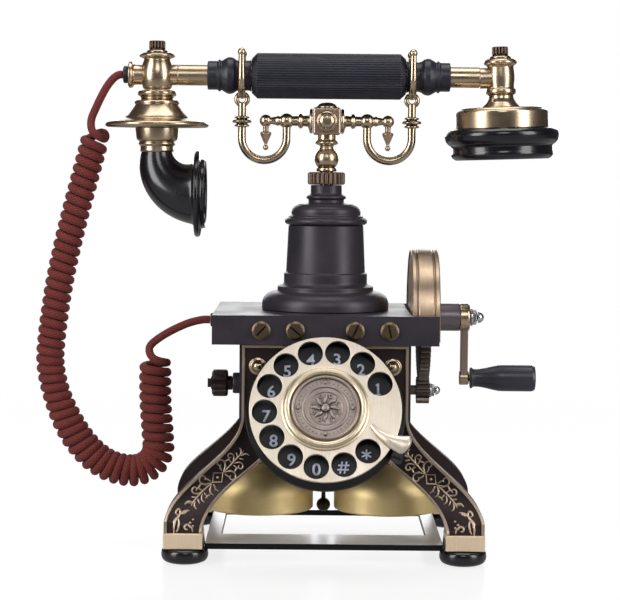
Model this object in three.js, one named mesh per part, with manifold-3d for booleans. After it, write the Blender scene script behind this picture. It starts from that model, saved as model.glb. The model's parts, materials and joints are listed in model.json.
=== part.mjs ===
// A table telephone in the style of about 1900: four splayed legs carry a box with two bells
// under it, a rotary dial on the front, a hand crank with gears on the right, and a turned
// column whose cradle holds a handset on a curly cord.
// Millimetres. +X is the phone's right as its user sees it, -Y is its front, +Z is up.
import * as THREE from "three";
import { mergeVertices } from "three/addons/utils/BufferGeometryUtils.js";
import Module from "manifold-3d";

const wasm = await Module();
wasm.setup();

// ---------------------------------------------------------------- driving dimensions
const GAP = 0.3; // left between pieces that touch
const SMALL = 8; // sides of a small turned piece
const MEDIUM = 12; // sides of a medium one
const LARGE = 18; // sides of a large one

const FOOT = { x: 82.5, y: 63, radius: 14, height: 9 };
const BASE_FRAME = { x: 68.2, y: 63, bar: 6, frontBar: 31, rearBar: 10, bottom: 7.6, thickness: 3.7 };
const LEG = { bottom: 9.3, inside: 71, outside: 94.5, splay: 23, footDepth: 14 };
const PANEL = { halfWidth: 49.7, top: 128.7, back: -43, thickness: 7, archTop: 57 };
const HOUSING = { halfWidth: 51.5, halfDepth: 42.7, bottom: 62.8, top: 128.7, wall: 2.5 };
const PLATE = { halfWidth: 67.5, halfDepth: 57, bottom: 129, top: 146.5, wall: 3 };
const NOTCH = { left: 51, front: -45, rear: 52 }; // the plate's slot for the crank's gear
const COLUMN = { bottom: PLATE.top + GAP, shoulder: 198.6, top: 223.2, hollow: 19, hole: 5.2 };
const NUT = { radius: 11.5, bottom: 223.5, top: 231.2, flutes: 24 };
const BELL = { x: 40, radius: 33.5, rim: 22.5, top: 50.5, wall: 1.8 };
const HAMMER = { pivot: 66, ball: 24.3, radius: 4.3, rod: 1.3 };
const DIAL = { y: -88, z: 95.2, tilt: 26, radius: 44.3, thickness: 1.8 };
const FINGER_HOLE = { count: 12, radius: 7.35, circle: 35.3, first: 26.3, step: 26.16 };
const CUP = { radius: 47, rim: -3, back: -18 };
const CRANK = { z: 142.1, shaft: 4, arm: 37.7, armWidth: 8.6, pin: 2 };
const GUARD = { left: 52.3, right: 69, radius: 42.1, wall: 2.2, band: 1.8 };
const GEAR = { module: 1.2, teeth: 64, left: 58, right: 64, pressureAngle: 25, backlash: 0.35 };
const PINION = { teeth: 12, left: 57, right: 65, shaft: 3 };
const KNOB = { z: 100, radius: 8.4, shaft: 2.5, lobes: 12 };
const CRADLE = { z: 261.1, block: 16.8, ball: 24.8, hookReach: 52.3, hookRod: 2.5, collar: 262 };
const YOKE = { radius: 11.8, rod: 2, tip: 303.5 };
const HANDSET = { x: 1, z: 290, half: 47.4, radius: 13.95, head: 105.6, tube: 6.3 };
const HORN = { pivotX: 21.2, pivotZ: 243, wall: 1.8, rim: 26.7 };
const EAR = { tilt: 2, cap: 28.8, ring: 35.3, lower: 31.4 };
const DISC = { radius: 32, bottom: 257.8 };
const CORD = { radius: 2.6, coil: 8.7, sides: 8 };

// The origin is the middle of the object's outer box, without its cord, on the ground.
const EAR_REACH = HANDSET.x + HANDSET.head + EAR.ring + 1.3;
const DISC_REACH = HANDSET.x - HANDSET.head - DISC.radius;
const DIAL_REACH = DIAL.y - DIAL.radius * Math.sin(THREE.MathUtils.degToRad(DIAL.tilt));
const MIDDLE = { x: (EAR_REACH + DISC_REACH) / 2, y: (DIAL_REACH + FOOT.y + FOOT.radius) / 2 };

// ---------------------------------------------------------------- finishes
const FINISHES = {
  antiqueBrass: { color: 0xa98f68, roughness: 0.32, metalness: 0.95 },
  paleBrass: { color: 0xd8c69c, roughness: 0.35, metalness: 0.9 },
  bellBrass: { color: 0xcdb46e, roughness: 0.38, metalness: 0.95 },
  bronze: { color: 0x8c7768, roughness: 0.5, metalness: 0.8 },
  darkMetal: { color: 0x423c3e, roughness: 0.45, metalness: 0.6 },
  brownMetal: { color: 0x3c2d2d, roughness: 0.5, metalness: 0.6 },
  gearSteel: { color: 0x4a4240, roughness: 0.5, metalness: 0.8 },
  chrome: { color: 0xd8d8dc, roughness: 0.12, metalness: 1 },
  blackGloss: { color: 0x0c0c10, roughness: 0.12, metalness: 0 },
  blackSatin: { color: 0x2c2b33, roughness: 0.5, metalness: 0 },
  cordFabric: { color: 0x69322d, roughness: 0.95, metalness: 0 },
  boardGreen: { color: 0x2f5a3a, roughness: 0.7, metalness: 0 },
};

// ---------------------------------------------------------------- geometry helpers
const radians = THREE.MathUtils.degToRad;
const vector = (x, y, z) => new THREE.Vector3(x, y, z);
const polar = (reach, angle) => new THREE.Vector2(reach * Math.cos(angle), reach * Math.sin(angle));
const turnShare = (i, count) => (2 * Math.PI * i) / count;
function circle(radius, sides) {
  return Array.from({ length: sides }, (_, i) => polar(radius, turnShare(i, sides)));
}

// Six times the volume that a closed triangle mesh holds; negative if its faces point in.
function signedVolume(position, triangles) {
  const [a, b, c] = [vector(), vector(), vector()];
  let sum = 0;
  for (let i = 0; i < triangles.length; i += 3) {
    a.fromBufferAttribute(position, triangles[i]);
    b.fromBufferAttribute(position, triangles[i + 1]);
    c.fromBufferAttribute(position, triangles[i + 2]);
    sum += a.dot(b.cross(c));
  }
  return sum;
}

// The same shape with shared corners, without triangles of no area, and with its faces out.
function closed(geometry) {
  const bare = geometry.clone();
  for (const name of Object.keys(bare.attributes)) {
    if (name !== "position") bare.deleteAttribute(name);
  }
  const merged = mergeVertices(bare, 1e-4);
  const index = merged.index.array;
  const triangles = [];
  for (let i = 0; i < index.length; i += 3) {
    const [a, b, c] = [index[i], index[i + 1], index[i + 2]];
    if (a !== b && b !== c && c !== a) triangles.push(a, b, c);
  }
  if (signedVolume(merged.attributes.position, triangles) < 0) triangles.reverse();
  merged.setIndex(triangles);
  return merged;
}

function toSolid(geometry) {
  const shape = closed(geometry);
  const vertProperties = new Float32Array(shape.attributes.position.array);
  const triVerts = new Uint32Array(shape.index.array);
  return new wasm.Manifold(new wasm.Mesh({ numProp: 3, vertProperties, triVerts }));
}

function toGeometry(solid) {
  const { vertProperties, triVerts } = solid.getMesh();
  const geometry = new THREE.BufferGeometry();
  geometry.setAttribute("position", new THREE.BufferAttribute(new Float32Array(vertProperties), 3));
  geometry.setIndex(new THREE.BufferAttribute(new Uint32Array(triVerts), 1));
  return geometry;
}

const joined = (...shapes) => toGeometry(shapes.map(toSolid).reduce((a, b) => a.add(b)));
const cut = (shape, ...tools) => toGeometry(
  tools.map(toSolid).reduce((a, b) => a.subtract(b), toSolid(shape)),
);
const common = (a, b) => toGeometry(toSolid(a).intersect(toSolid(b)));

// A box given by its lowest and highest corners.
function block(low, high) {
  const [x, y, z] = high.map((value, i) => value - low[i]);
  const middle = high.map((value, i) => (value + low[i]) / 2);
  return new THREE.BoxGeometry(x, y, z).translate(...middle);
}

// A solid turned about Z. Each profile point is [radius, height].
function turned(profile, sides = MEDIUM) {
  const points = profile.map(([radius, height]) => new THREE.Vector2(radius, height));
  return new THREE.LatheGeometry(points, sides).rotateX(Math.PI / 2);
}

// A solid turned about X, +X being the profile's height.
const turnedX = (profile, sides) => turned(profile, sides).rotateY(Math.PI / 2);

// A solid turned about Y, pointing to the front: height 0 is at y, larger heights nearer the user.
const turnedFront = (profile, sides) => turned(profile, sides).rotateX(Math.PI / 2);

// The corner radius of a hole with flat sides that leaves the usual gap round a shaft.
const bore = (shaft, sides = SMALL) => (shaft + GAP) / Math.cos(Math.PI / sides);

const rod = (radius, from, to, sides = SMALL) => turned(
  [[0, from], [radius, from], [radius, to], [0, to]], sides,
);
const rodX = (radius, from, to, sides = SMALL) => rod(radius, from, to, sides).rotateY(Math.PI / 2);

// Points of a turned profile along an arc about [radius, height], between two angles.
function arc([centreRadius, centreHeight], size, from, to, steps) {
  return Array.from({ length: steps + 1 }, (_, i) => {
    const angle = radians(from + ((to - from) * i) / steps);
    return [centreRadius + size * Math.cos(angle), centreHeight + size * Math.sin(angle)];
  });
}

// A round rod along a curve.
function tube(curve, radius, steps, sides = CORD.sides) {
  const section = new THREE.Shape(circle(radius, sides));
  return new THREE.ExtrudeGeometry(section, { steps, extrudePath: curve, bevelEnabled: false });
}

// A flat shape drawn in X and Z, with its thickness along Y from front to back.
function slab(shape, front, back, curveSegments = 6) {
  const depth = back - front;
  const flat = new THREE.ExtrudeGeometry(shape, { depth, bevelEnabled: false, curveSegments });
  return flat.rotateX(Math.PI / 2).translate(0, back, 0);
}

// A flat shape drawn in Y and Z, with its thickness along X.
function slabX(shape, left, right, curveSegments = 6) {
  const depth = right - left;
  const flat = new THREE.ExtrudeGeometry(shape, { depth, bevelEnabled: false, curveSegments });
  return flat.rotateZ(Math.PI / 2).rotateY(Math.PI / 2).translate(left, 0, 0);
}

// The skin over a closed row of rings, each an array of as many points; the last meets the first.
function skin(rings) {
  const sides = rings[0].length;
  const index = [];
  rings.forEach((ring, row) => {
    const next = (row + 1) % rings.length;
    for (let side = 0; side < sides; side += 1) {
      const a = row * sides + side;
      const b = row * sides + ((side + 1) % sides);
      const c = next * sides + side;
      const d = next * sides + ((side + 1) % sides);
      index.push(a, b, d, a, d, c);
    }
  });
  const geometry = new THREE.BufferGeometry().setFromPoints(rings.flat());
  geometry.setIndex(index);
  return geometry;
}

// A solid through a row of four-cornered sections, closed at both ends.
function loft(sections) {
  const index = [0, 1, 2, 0, 2, 3];
  const last = 4 * (sections.length - 1);
  for (let row = 0; row < last; row += 4) {
    for (let side = 0; side < 4; side += 1) {
      const [a, b] = [row + side, row + ((side + 1) % 4)];
      index.push(a, a + 4, b + 4, a, b + 4, b);
    }
  }
  index.push(last, last + 2, last + 1, last, last + 3, last + 2);
  const geometry = new THREE.BufferGeometry().setFromPoints(sections.flat());
  geometry.setIndex(index);
  return geometry;
}

const phone = new THREE.Group();
phone.name = "crank_telephone";
phone.position.set(-MIDDLE.x, -MIDDLE.y, 0);

function add(name, geometry, finish, parent = phone) {
  const part = new THREE.Mesh(closed(geometry), new THREE.MeshStandardMaterial(FINISHES[finish]));
  part.name = name;
  parent.add(part);
  return part;
}

// ---------------------------------------------------------------- feet, base frame and legs
function footPad() {
  const { radius, height } = FOOT;
  const profile = [
    [0, 0], [9.5, 0], [12.8, 1.4], [radius, 4.4], [radius - 0.3, 7.6], [12.4, height], [0, height],
  ];
  return turned(profile);
}

function addFeet() {
  for (const [side, x] of [["left", -FOOT.x], ["right", FOOT.x]]) {
    add(`foot_front_${side}`, footPad(), "blackGloss").position.set(x, -FOOT.y, 0);
    add(`foot_rear_${side}`, footPad(), "blackGloss").position.set(x, FOOT.y, 0);
  }
}

function baseFrame() {
  const { x, y, bar, frontBar, rearBar, bottom, thickness } = BASE_FRAME;
  const outside = block([-x, -y, bottom], [x, y, bottom + thickness]);
  const opening = block([bar - x, frontBar - y, 0], [x - bar, y - rearBar, PLATE.bottom]);
  return cut(outside, opening);
}

// The outer and inner edges of the right leg, drawn in X and Z, from the panel down to the foot.
const legOuter = new THREE.CubicBezierCurve(
  new THREE.Vector2(PANEL.halfWidth, 86), new THREE.Vector2(PANEL.halfWidth, 62),
  new THREE.Vector2(92, 47), new THREE.Vector2(LEG.outside, 25),
);
const legInner = new THREE.CubicBezierCurve(
  new THREE.Vector2(37.5, 59.2), new THREE.Vector2(48, 49),
  new THREE.Vector2(70, 37), new THREE.Vector2(LEG.inside + 1, 20),
);

// A section through the leg: it comes forward and gets deeper on its way down to the foot.
function legSection(outer, inner, share) {
  const front = PANEL.back - PANEL.thickness - LEG.splay * share ** 1.6;
  const back = front + PANEL.thickness + LEG.footDepth * share ** 2;
  const corner = (point, y) => vector(point.x, y, point.y);
  return [corner(outer, front), corner(outer, back), corner(inner, back), corner(inner, front)];
}

function leg() {
  const steps = 10;
  const sections = Array.from({ length: steps + 1 }, (_, i) => {
    const share = i / steps;
    return legSection(legOuter.getPoint(share), legInner.getPoint(share), share);
  });
  const outside = new THREE.Vector2(LEG.outside, LEG.bottom);
  const inside = new THREE.Vector2(LEG.inside, LEG.bottom);
  return loft([...sections, legSection(outside, inside, 1)]);
}

function legFrame() {
  const { halfWidth, top, archTop, back, thickness } = PANEL;
  const outline = new THREE.Shape().moveTo(-halfWidth, top);
  outline.lineTo(-halfWidth, 84);
  outline.lineTo(-39, 60.5);
  outline.bezierCurveTo(-28, 54, -14, archTop, 0, archTop);
  outline.bezierCurveTo(14, archTop, 28, 54, 39, 60.5);
  outline.lineTo(halfWidth, 84);
  outline.lineTo(halfWidth, top);
  const panel = slab(outline, back - thickness, back);
  return joined(panel, leg(), leg().scale(-1, 1, 1));
}

// ---------------------------------------------------------------- box, top plate and column
const shaftHole = (x, z, shaft) => rodX(bore(shaft), x - 6, x + 6).translate(0, 0, z);

function bodyHousing() {
  const { halfWidth, halfDepth, bottom, top, wall } = HOUSING;
  const outside = block([-halfWidth, -halfDepth, bottom], [halfWidth, halfDepth, top]);
  const inside = block(
    [wall - halfWidth, wall - halfDepth, 0],
    [halfWidth - wall, halfDepth - wall, top - wall],
  );
  const knobFlange = rodX(6.3, -56.9, wall - halfWidth, MEDIUM).translate(0, 0, KNOB.z);
  const pinionHole = shaftHole(halfWidth, pinionZ, PINION.shaft);
  const knobHole = shaftHole(-halfWidth, KNOB.z, KNOB.shaft);
  return cut(joined(cut(outside, inside), knobFlange), pinionHole, knobHole);
}

// The sheet that closes the box from below, with the two posts that the bells hang on.
function chassisPlate() {
  const { halfWidth, halfDepth, bottom } = HOUSING;
  const sheet = block([-halfWidth, -halfDepth, bottom - 2.8], [halfWidth, halfDepth, bottom - GAP]);
  const hammerSlot = block([-5, -5, 0], [5, 5, PLATE.bottom]);
  const post = (x) => turned([
    [0, 43], [5, 43], [5.5, 44], [5.5, BELL.top - BELL.wall - GAP], [3, BELL.top - BELL.wall - GAP],
    [3, BELL.top + GAP], [4.6, BELL.top + GAP], [4.6, bottom - 1], [0, bottom - 1],
  ], SMALL).translate(x, 0, 0);
  return joined(cut(sheet, hammerSlot), post(BELL.x), post(-BELL.x));
}

function topPlate() {
  const { halfWidth, halfDepth, bottom, top, wall } = PLATE;
  const outside = block([-halfWidth, -halfDepth, bottom], [halfWidth, halfDepth, top]);
  const hollow = block(
    [wall - halfWidth, wall - halfDepth, 0],
    [halfWidth - wall, halfDepth - wall, top - wall],
  );
  const notch = block([NOTCH.left, NOTCH.front, 0], [halfWidth + 5, NOTCH.rear, top + 5]);
  const jackHole = block([-27.8, halfDepth - 10, 131.7], [-12.2, halfDepth + 5, 142.3]);
  return cut(outside, hollow, notch, jackHole);
}

function lineJack() {
  const body = block([-27.5, 44, 132], [-12.5, PLATE.halfDepth, 142]);
  const socket = block([-25.7, 49, 133.5], [-14.3, PLATE.halfDepth + 1, 140.5]);
  return cut(body, socket);
}

function column() {
  const { bottom, shoulder, hollow } = COLUMN;
  return turned([
    [hollow, bottom], [39.2, bottom], ...arc([31.2, 149.6], 8, 0, 80, 3), [29.6, 157.6], [29.6, 161.2],
    [26.3, 161.9], [25.7, 169.2], [24.4, 169.6], [23.1, shoulder], [hollow, shoulder], [hollow, bottom],
  ], LARGE);
}

function columnCap() {
  const { shoulder, top, hole } = COLUMN;
  return turned([
    [hole, shoulder + GAP], [23.6, shoulder + GAP], ...arc([23.4, 201], 2.1, -60, 60, 2), [23.2, 203.2],
    [23.2, 204.2], [21.4, 204.4], ...arc([16.8, 206.4], 4.6, 0, 80, 2), [17.2, 211.4],
    [10.9, 211.9], [10.9, 214.4], [11.9, 215.2], [11.9, 216.4], [9.6, 217.6], [9.6, top], [hole, top],
    [hole, shoulder + GAP],
  ], LARGE);
}

function knurledNut() {
  const { radius, bottom, top, flutes } = NUT;
  const corner = (_, i) => polar(i % 2 ? radius - 0.8 : radius, (Math.PI * i) / flutes);
  const outline = new THREE.Shape(Array.from({ length: 2 * flutes }, corner));
  outline.holes.push(new THREE.Path().absarc(0, 0, COLUMN.hole, 0, 2 * Math.PI, true));
  const depth = top - bottom;
  const flat = new THREE.ExtrudeGeometry(outline, { depth, bevelEnabled: false, curveSegments: SMALL });
  return flat.translate(0, 0, bottom);
}

// ---------------------------------------------------------------- bells and ringer
function bell() {
  const { radius, rim, top, wall } = BELL;
  const crown = radius - 10;
  const hole = bore(3, LARGE);
  return turned([
    [hole, top], [9, top], [crown - 6, top - 3], [crown + 4, top - 9], [radius - 1, top - 15.5],
    [radius, rim], [radius - wall, rim], [radius - wall - 1, top - 16], [crown + 3, top - 10.6],
    [crown - 7, top - 5], [8.4, top - wall], [hole, top - wall], [hole, top],
  ], LARGE);
}

function addBells() {
  for (const [side, x] of [["left", -BELL.x], ["right", BELL.x]]) {
    add(`bell_${side}`, bell(), "bellBrass").position.set(x, 0, 0);
  }
}

// Two bobbins on an iron yoke, which pull the hammer from side to side.
function ringerMagnet() {
  const floor = HOUSING.bottom + 0.1;
  const base = block([-22, 9, floor], [22, 21, floor + 3]);
  const bobbin = (x) => turned([
    [0, 2], [7, 2], [7, 4], [6, 4], [6, 20], [7, 20], [7, 22], [0, 22],
  ], SMALL).translate(x, 15, floor);
  return joined(base, bobbin(-14), bobbin(14));
}

function bellHammer() {
  const { pivot, ball, radius, rod: rodRadius } = HAMMER;
  const top = pivot + 2;
  const shank = [[rodRadius, ball + radius], [rodRadius, top], [0, top]];
  const stem = arc([0, ball], radius, -90, 70, 8).concat(shank);
  const pin = rod(1.2, -8.5, 8.5, 8).rotateX(Math.PI / 2).translate(0, 0, pivot);
  return joined(turned(stem, SMALL), pin);
}

function circuitBoard() {
  const sheet = block([-38, -30, 108], [38, 30, 109.6]);
  const chip = block([-9, -6, 109], [9, 6, 112]);
  const relay = block([16, 8, 109], [32, 20, 119]);
  return joined(sheet, chip, relay);
}

// ---------------------------------------------------------------- dial, in a tilted frame of its own
const dial = new THREE.Group();
dial.position.set(0, DIAL.y, DIAL.z);
dial.rotation.x = radians(90 - DIAL.tilt);
phone.add(dial);

function fingerWheel() {
  const outline = new THREE.Shape(circle(DIAL.radius, 40));
  for (let i = 0; i < FINGER_HOLE.count; i += 1) {
    const middle = polar(FINGER_HOLE.circle, radians(FINGER_HOLE.first + i * FINGER_HOLE.step));
    const hole = circle(FINGER_HOLE.radius, SMALL).map((point) => point.add(middle));
    outline.holes.push(new THREE.Path(hole.reverse()));
  }
  outline.holes.push(new THREE.Path(circle(bore(8, LARGE), LARGE).reverse()));
  const flat = new THREE.ExtrudeGeometry(outline, { depth: DIAL.thickness, bevelEnabled: false });
  return flat.translate(0, 0, -DIAL.thickness);
}

// The raised ring on the wheel, with the boss and shaft that carry both.
const dialHub = () => turned([
  [0, -22], [3, -22], [3, -4], [8, -4], [8, GAP], [24.3, GAP], [24.3, 1.2], [22.6, 2.4], [21.2, 3.6],
  [19.7, 3.2], [19.7, 1.3], [0, 1.3],
], LARGE);
const dialBadge = () => turned([[0, 1.6], [19.3, 1.6], [19.3, 3], [18.2, 3.4], [0, 3.9]], LARGE);

function numberPlate() {
  const [hole, outer] = [bore(8, LARGE), CUP.radius - 3];
  return turned([[hole, -9.3], [outer, -9.3], [outer, -8], [hole, -8], [hole, -9.3]], LARGE);
}

// The cup behind the wheel, with the neck that joins it to the upright panel.
function dialCup() {
  const { radius, rim, back } = CUP;
  const hole = bore(3, LARGE);
  const cup = turned([
    [hole, -60], [16, -60], [16, back], [36, back], [42, -13], [radius, -7], [radius, rim],
    [radius - 2.4, rim], [radius - 2.4, -9.7], [34, -15.8], [hole, -15.8], [hole, -60],
  ], LARGE);
  dial.updateMatrix();
  const panelFront = PANEL.back - PANEL.thickness - GAP;
  const room = block([-60, -140, 0], [60, panelFront, PLATE.top]).applyMatrix4(dial.matrix.clone().invert());
  return common(cup, room);
}

// A fishtail over the wheel whose outer end bends back round the cup.
function fingerStop() {
  const tail = new THREE.Shape();
  tail.moveTo(28.7, 0.6);
  tail.bezierCurveTo(36, -4.5, 42, -3.5, 50.5, 1);
  tail.bezierCurveTo(52.5, -3, 52, -8, 49.5, -12);
  tail.bezierCurveTo(42, -10, 37, -8, 28.7, 0.6);
  const over = new THREE.ExtrudeGeometry(tail, { depth: 1.6, bevelEnabled: false, curveSegments: 5 });
  const bend = block([CUP.radius + 0.5, -10.5, -7.5], [CUP.radius + 4.2, 0.4, 1.4]);
  return joined(over.translate(0, 0, 1.2), bend).rotateZ(radians(-22));
}

function addDial() {
  add("finger_wheel", fingerWheel(), "paleBrass", dial);
  add("dial_hub", dialHub(), "antiqueBrass", dial);
  add("dial_badge", dialBadge(), "bronze", dial);
  add("number_plate", numberPlate(), "blackSatin", dial);
  add("dial_cup", dialCup(), "blackGloss", dial);
  add("finger_stop", fingerStop(), "paleBrass", dial);
}

// ---------------------------------------------------------------- gears, crank and side knob
const pinionZ = CRANK.z - (GEAR.module * (GEAR.teeth + PINION.teeth)) / 2;

// An involute gear's outline, with a tooth on the drawing's +X axis. Its drawing is turned by whole
// quarter turns only, so a tooth of the large gear also points down, at the pinion's gap.
function gearOutline(teeth, flankSteps) {
  const pitch = (GEAR.module * teeth) / 2;
  const pressure = radians(GEAR.pressureAngle);
  const base = pitch * Math.cos(pressure);
  const root = pitch - 1.2 * GEAR.module;
  const tip = pitch + 0.95 * GEAR.module;
  const involute = (angle) => Math.tan(angle) - angle;
  const halfAt = (reach) => {
    const onFlank = Math.acos(Math.min(1, base / reach));
    return Math.PI / (2 * teeth) - GEAR.backlash / (2 * pitch) + involute(pressure) - involute(onFlank);
  };
  const points = [];
  for (let tooth = 0; tooth < teeth; tooth += 1) {
    const middle = (2 * Math.PI * tooth) / teeth;
    const flank = Array.from({ length: flankSteps }, (_, i) => root + ((tip - root) * i) / (flankSteps - 1));
    for (const reach of flank) points.push(polar(reach, middle - halfAt(reach)));
    for (const reach of flank.reverse()) points.push(polar(reach, middle + halfAt(reach)));
  }
  return new THREE.Shape(points);
}

function driveGear() {
  const outline = gearOutline(GEAR.teeth, 2);
  outline.holes.push(new THREE.Path(circle(bore(CRANK.shaft), SMALL).reverse()));
  return slabX(outline, GEAR.left, GEAR.right);
}

function pinion() {
  const outline = gearOutline(PINION.teeth, 3);
  const wheel = slabX(outline, PINION.left, PINION.right, SMALL).rotateX(Math.PI / PINION.teeth);
  return joined(wheel, rodX(PINION.shaft, 45, PINION.right));
}

function gearGuard() {
  const { left, right, radius, wall, band } = GUARD;
  const foot = PLATE.bottom + 1 - CRANK.z;
  const arch = (size, end) => {
    const shape = new THREE.Shape().moveTo(size, end).lineTo(size, 0);
    return shape.absarc(0, 0, size, 0, Math.PI).lineTo(-size, end);
  };
  const outside = slabX(arch(radius, foot), left, right, 20);
  const inside = slabX(arch(radius - band, foot - 5), left + wall, right - wall, 20);
  return cut(outside, inside, rodX(bore(CRANK.shaft), left - 1, right + 1));
}

const crankBearing = () => {
  const [inner, outer] = [bore(CRANK.shaft, MEDIUM), 8.5];
  const [left, right] = [GUARD.right + GAP, 83.2];
  return turnedX([[inner, left], [outer, left], [outer, right], [inner, right], [inner, left]], MEDIUM);
};

// The arm with the pin riveted in its end, on which the grip turns.
function crankArm() {
  const [left, right] = [83.5, 89.5];
  const half = CRANK.armWidth / 2;
  const boss = rodX(8.5, left, right, MEDIUM);
  const bar = block([left, -half, -CRANK.arm], [right, half, 0]);
  const end = rodX(half, left, right).translate(0, 0, -CRANK.arm);
  const pin = rodX(CRANK.pin, left + 1, 126).translate(0, 0, -CRANK.arm);
  return cut(joined(boss, bar, end, pin), rodX(bore(CRANK.shaft), left - 1, right + 1));
}

// A washer and a domed nut on the end of a shaft, from x along +X.
const acornNut = (x, size) => turnedX([
  [0, x], [size, x], [size, x + 1.2], [size * 0.75, x + 1.3], [size * 0.75, x + size * 0.8],
  ...arc([0, x + size * 0.9], size * 0.68, 10, 90, 4),
], SMALL);

function crankGrip() {
  const [start, end, hole] = [90.3, 131, bore(CRANK.pin, MEDIUM)];
  return turnedX([
    [hole, start], [6.5, start], [6.5, start + 1.6], [5.5, start + 2.2], [5.7, start + 5],
    [8.1, start + 17], [8.2, start + 20], [8.2, end - 2], [7.2, end], [0, end], [0, end - 4.6],
    [hole, end - 4.6], [hole, start],
  ]);
}

function addCrank() {
  const crankLine = new THREE.Group();
  crankLine.position.z = CRANK.z;
  phone.add(crankLine);
  add("gear_guard", gearGuard(), "antiqueBrass", crankLine);
  add("crank_bearing", crankBearing(), "darkMetal", crankLine);
  add("crank_shaft", rodX(CRANK.shaft, 52.6, 89.9), "gearSteel", crankLine);
  add("drive_gear", driveGear(), "gearSteel", crankLine);
  add("crank_arm", crankArm(), "antiqueBrass", crankLine);
  add("crank_nut", acornNut(90.3, 5.4), "chrome", crankLine);
  add("crank_grip", crankGrip().translate(0, 0, -CRANK.arm), "blackSatin", crankLine);
}

function addPinion() {
  const pinionLine = new THREE.Group();
  pinionLine.position.z = pinionZ;
  phone.add(pinionLine);
  add("pinion", pinion(), "gearSteel", pinionLine);
  add("pinion_nut", acornNut(PINION.right + GAP, 4.4), "chrome", pinionLine);
}

function sideKnob() {
  const points = 4 * KNOB.lobes;
  const outline = new THREE.Shape(Array.from({ length: points }, (_, i) => {
    const angle = (2 * Math.PI * i) / points;
    return polar(KNOB.radius - 0.7 + 0.7 * Math.cos(KNOB.lobes * angle), angle);
  }));
  const wheel = slabX(outline, -66.6, -60);
  const wing = block([-72.6, -1.3, -6.4], [-65, 1.3, 6.4]);
  const hub = turnedX([[0, -70.6], [3.6, -70.6], [4.4, -66], [4.4, -57.2], [0, -57.2]], SMALL);
  const shaft = rodX(KNOB.shaft, -58, -45);
  return joined(wheel, wing, hub, shaft);
}

// ---------------------------------------------------------------- cradle
function cradleStem() {
  const underBlock = CRADLE.z - CRADLE.block / 2 - GAP;
  return turned([
    [0, 176], [4.2, 176], [4.2, NUT.top + 0.4], [6.1, NUT.top + 0.4], [6.1, 234], [5, 234.4],
    ...arc([0, 239.4], 7.4, -40, 48, 4), [4, 245.6], [4, 247.4], [7.2, 248.6], [6.6, 250.4],
    [5.6, underBlock], [0, underBlock],
  ], MEDIUM);
}

function cradleBlock() {
  const half = CRADLE.block / 2;
  const cube = block([-half, -half, -half], [half, half, half]);
  const button = () => turnedFront([[0, half - 2], [6.4, half - 2], [6.4, half + 1], [5.2, half + 1.2],
    [4, half + 2.8], [0, half + 3.6]], SMALL);
  const domeSide = [[0, half - 2], [6.4, half - 2], [6.4, half + 0.8], [4.6, half + 2.6], [0, half + 3.4]];
  const dome = turned(domeSide, SMALL);
  return joined(cube, button(), button().rotateZ(Math.PI), dome).translate(0, 0, CRADLE.z);
}

// The right half of the cradle: the bar with its balls, the hook and the eye that holds the yoke.
function cradleArm() {
  const start = CRADLE.block / 2 + GAP;
  const { z, ball, hookReach, hookRod, collar } = CRADLE;
  const bar = turnedX([
    [0, start], [6.5, start], [6.5, start + 2.6], [3.4, start + 3], [3.2, 14.6], [4.6, 15.4], [4.6, 17],
    [3, 17.6], [3, 20.4], ...arc([0, ball], 4.7, -50, 50, 4), [2.4, 29.6], [2.2, 33.6],
    ...arc([0, 37.6], 3.85, -55, 90, 4),
  ], SMALL).translate(0, 0, z);
  const eyeZ = HANDSET.z - YOKE.radius - 2.8;
  const hook = tube(new THREE.CatmullRomCurve3(hookPath(eyeZ)), hookRod, 20, 8);
  const rings = turned([
    [0, collar - 3], [5.4, collar - 3], [5.4, collar - 1.6], [4, collar - 1.2], [6.2, collar - 0.6],
    [6.2, collar + 0.9], [4, collar + 1.4], [5.2, collar + 1.8], [5.2, collar + 3], [0, collar + 3],
  ], SMALL).translate(hookReach, 0, 0);
  const across = (radius, reach, height) => rod(radius, -reach, reach)
    .rotateX(Math.PI / 2).translate(hookReach, 0, height);
  const whole = joined(bar, hook, rings, pendant(), across(5, 4, eyeZ));
  return cut(whole, across(YOKE.rod + 0.6, 9, eyeZ + 3.2));
}

// Down from the inner ball, round a half circle and up to the eye.
function hookPath(eyeZ) {
  const { z, ball, hookReach } = CRADLE;
  const radius = (hookReach - ball) / 2;
  const bend = z - 10.5;
  const halfRound = Array.from({ length: 9 }, (_, i) => {
    const { x, y } = polar(radius, Math.PI + (Math.PI * i) / 8);
    return vector(ball + radius + x, 0, bend + y);
  });
  return [vector(ball, 0, z - 2), vector(ball, 0, z - 6), ...halfRound,
    vector(hookReach, 0, z - 5), vector(hookReach, 0, z + 4), vector(hookReach, 0, eyeZ)];
}

function pendant() {
  const top = CRADLE.z - 3.4;
  return turned([
    [0, top], [1.9, top], [1.6, top - 3.2], [3.6, top - 4], [3.2, top - 5.4], [1, top - 10.8],
    ...arc([0, top - 13], 1.7, 50, -90, 5),
  ], 8).translate(37.6, 0, 0);
}

// The open fork under the handset's neck, seen from the side a U with a ball on each tip.
function yoke() {
  const { radius, rod: rodRadius, tip } = YOKE;
  const { z } = HANDSET;
  const halfRound = Array.from({ length: 9 }, (_, i) => {
    const { x, y } = polar(radius, Math.PI + (Math.PI * i) / 8);
    return vector(0, x, z + y);
  });
  const path = [vector(0, -radius, tip), vector(0, -radius, tip - 6), ...halfRound,
    vector(0, radius, tip - 6), vector(0, radius, tip)];
  const ball = (y) => new THREE.SphereGeometry(2.7, 8, 5).translate(0, y, tip + 0.8);
  const bow = tube(new THREE.CatmullRomCurve3(path), rodRadius, 16);
  return joined(bow, ball(-radius), ball(radius)).translate(CRADLE.hookReach, 0, 0);
}

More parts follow.
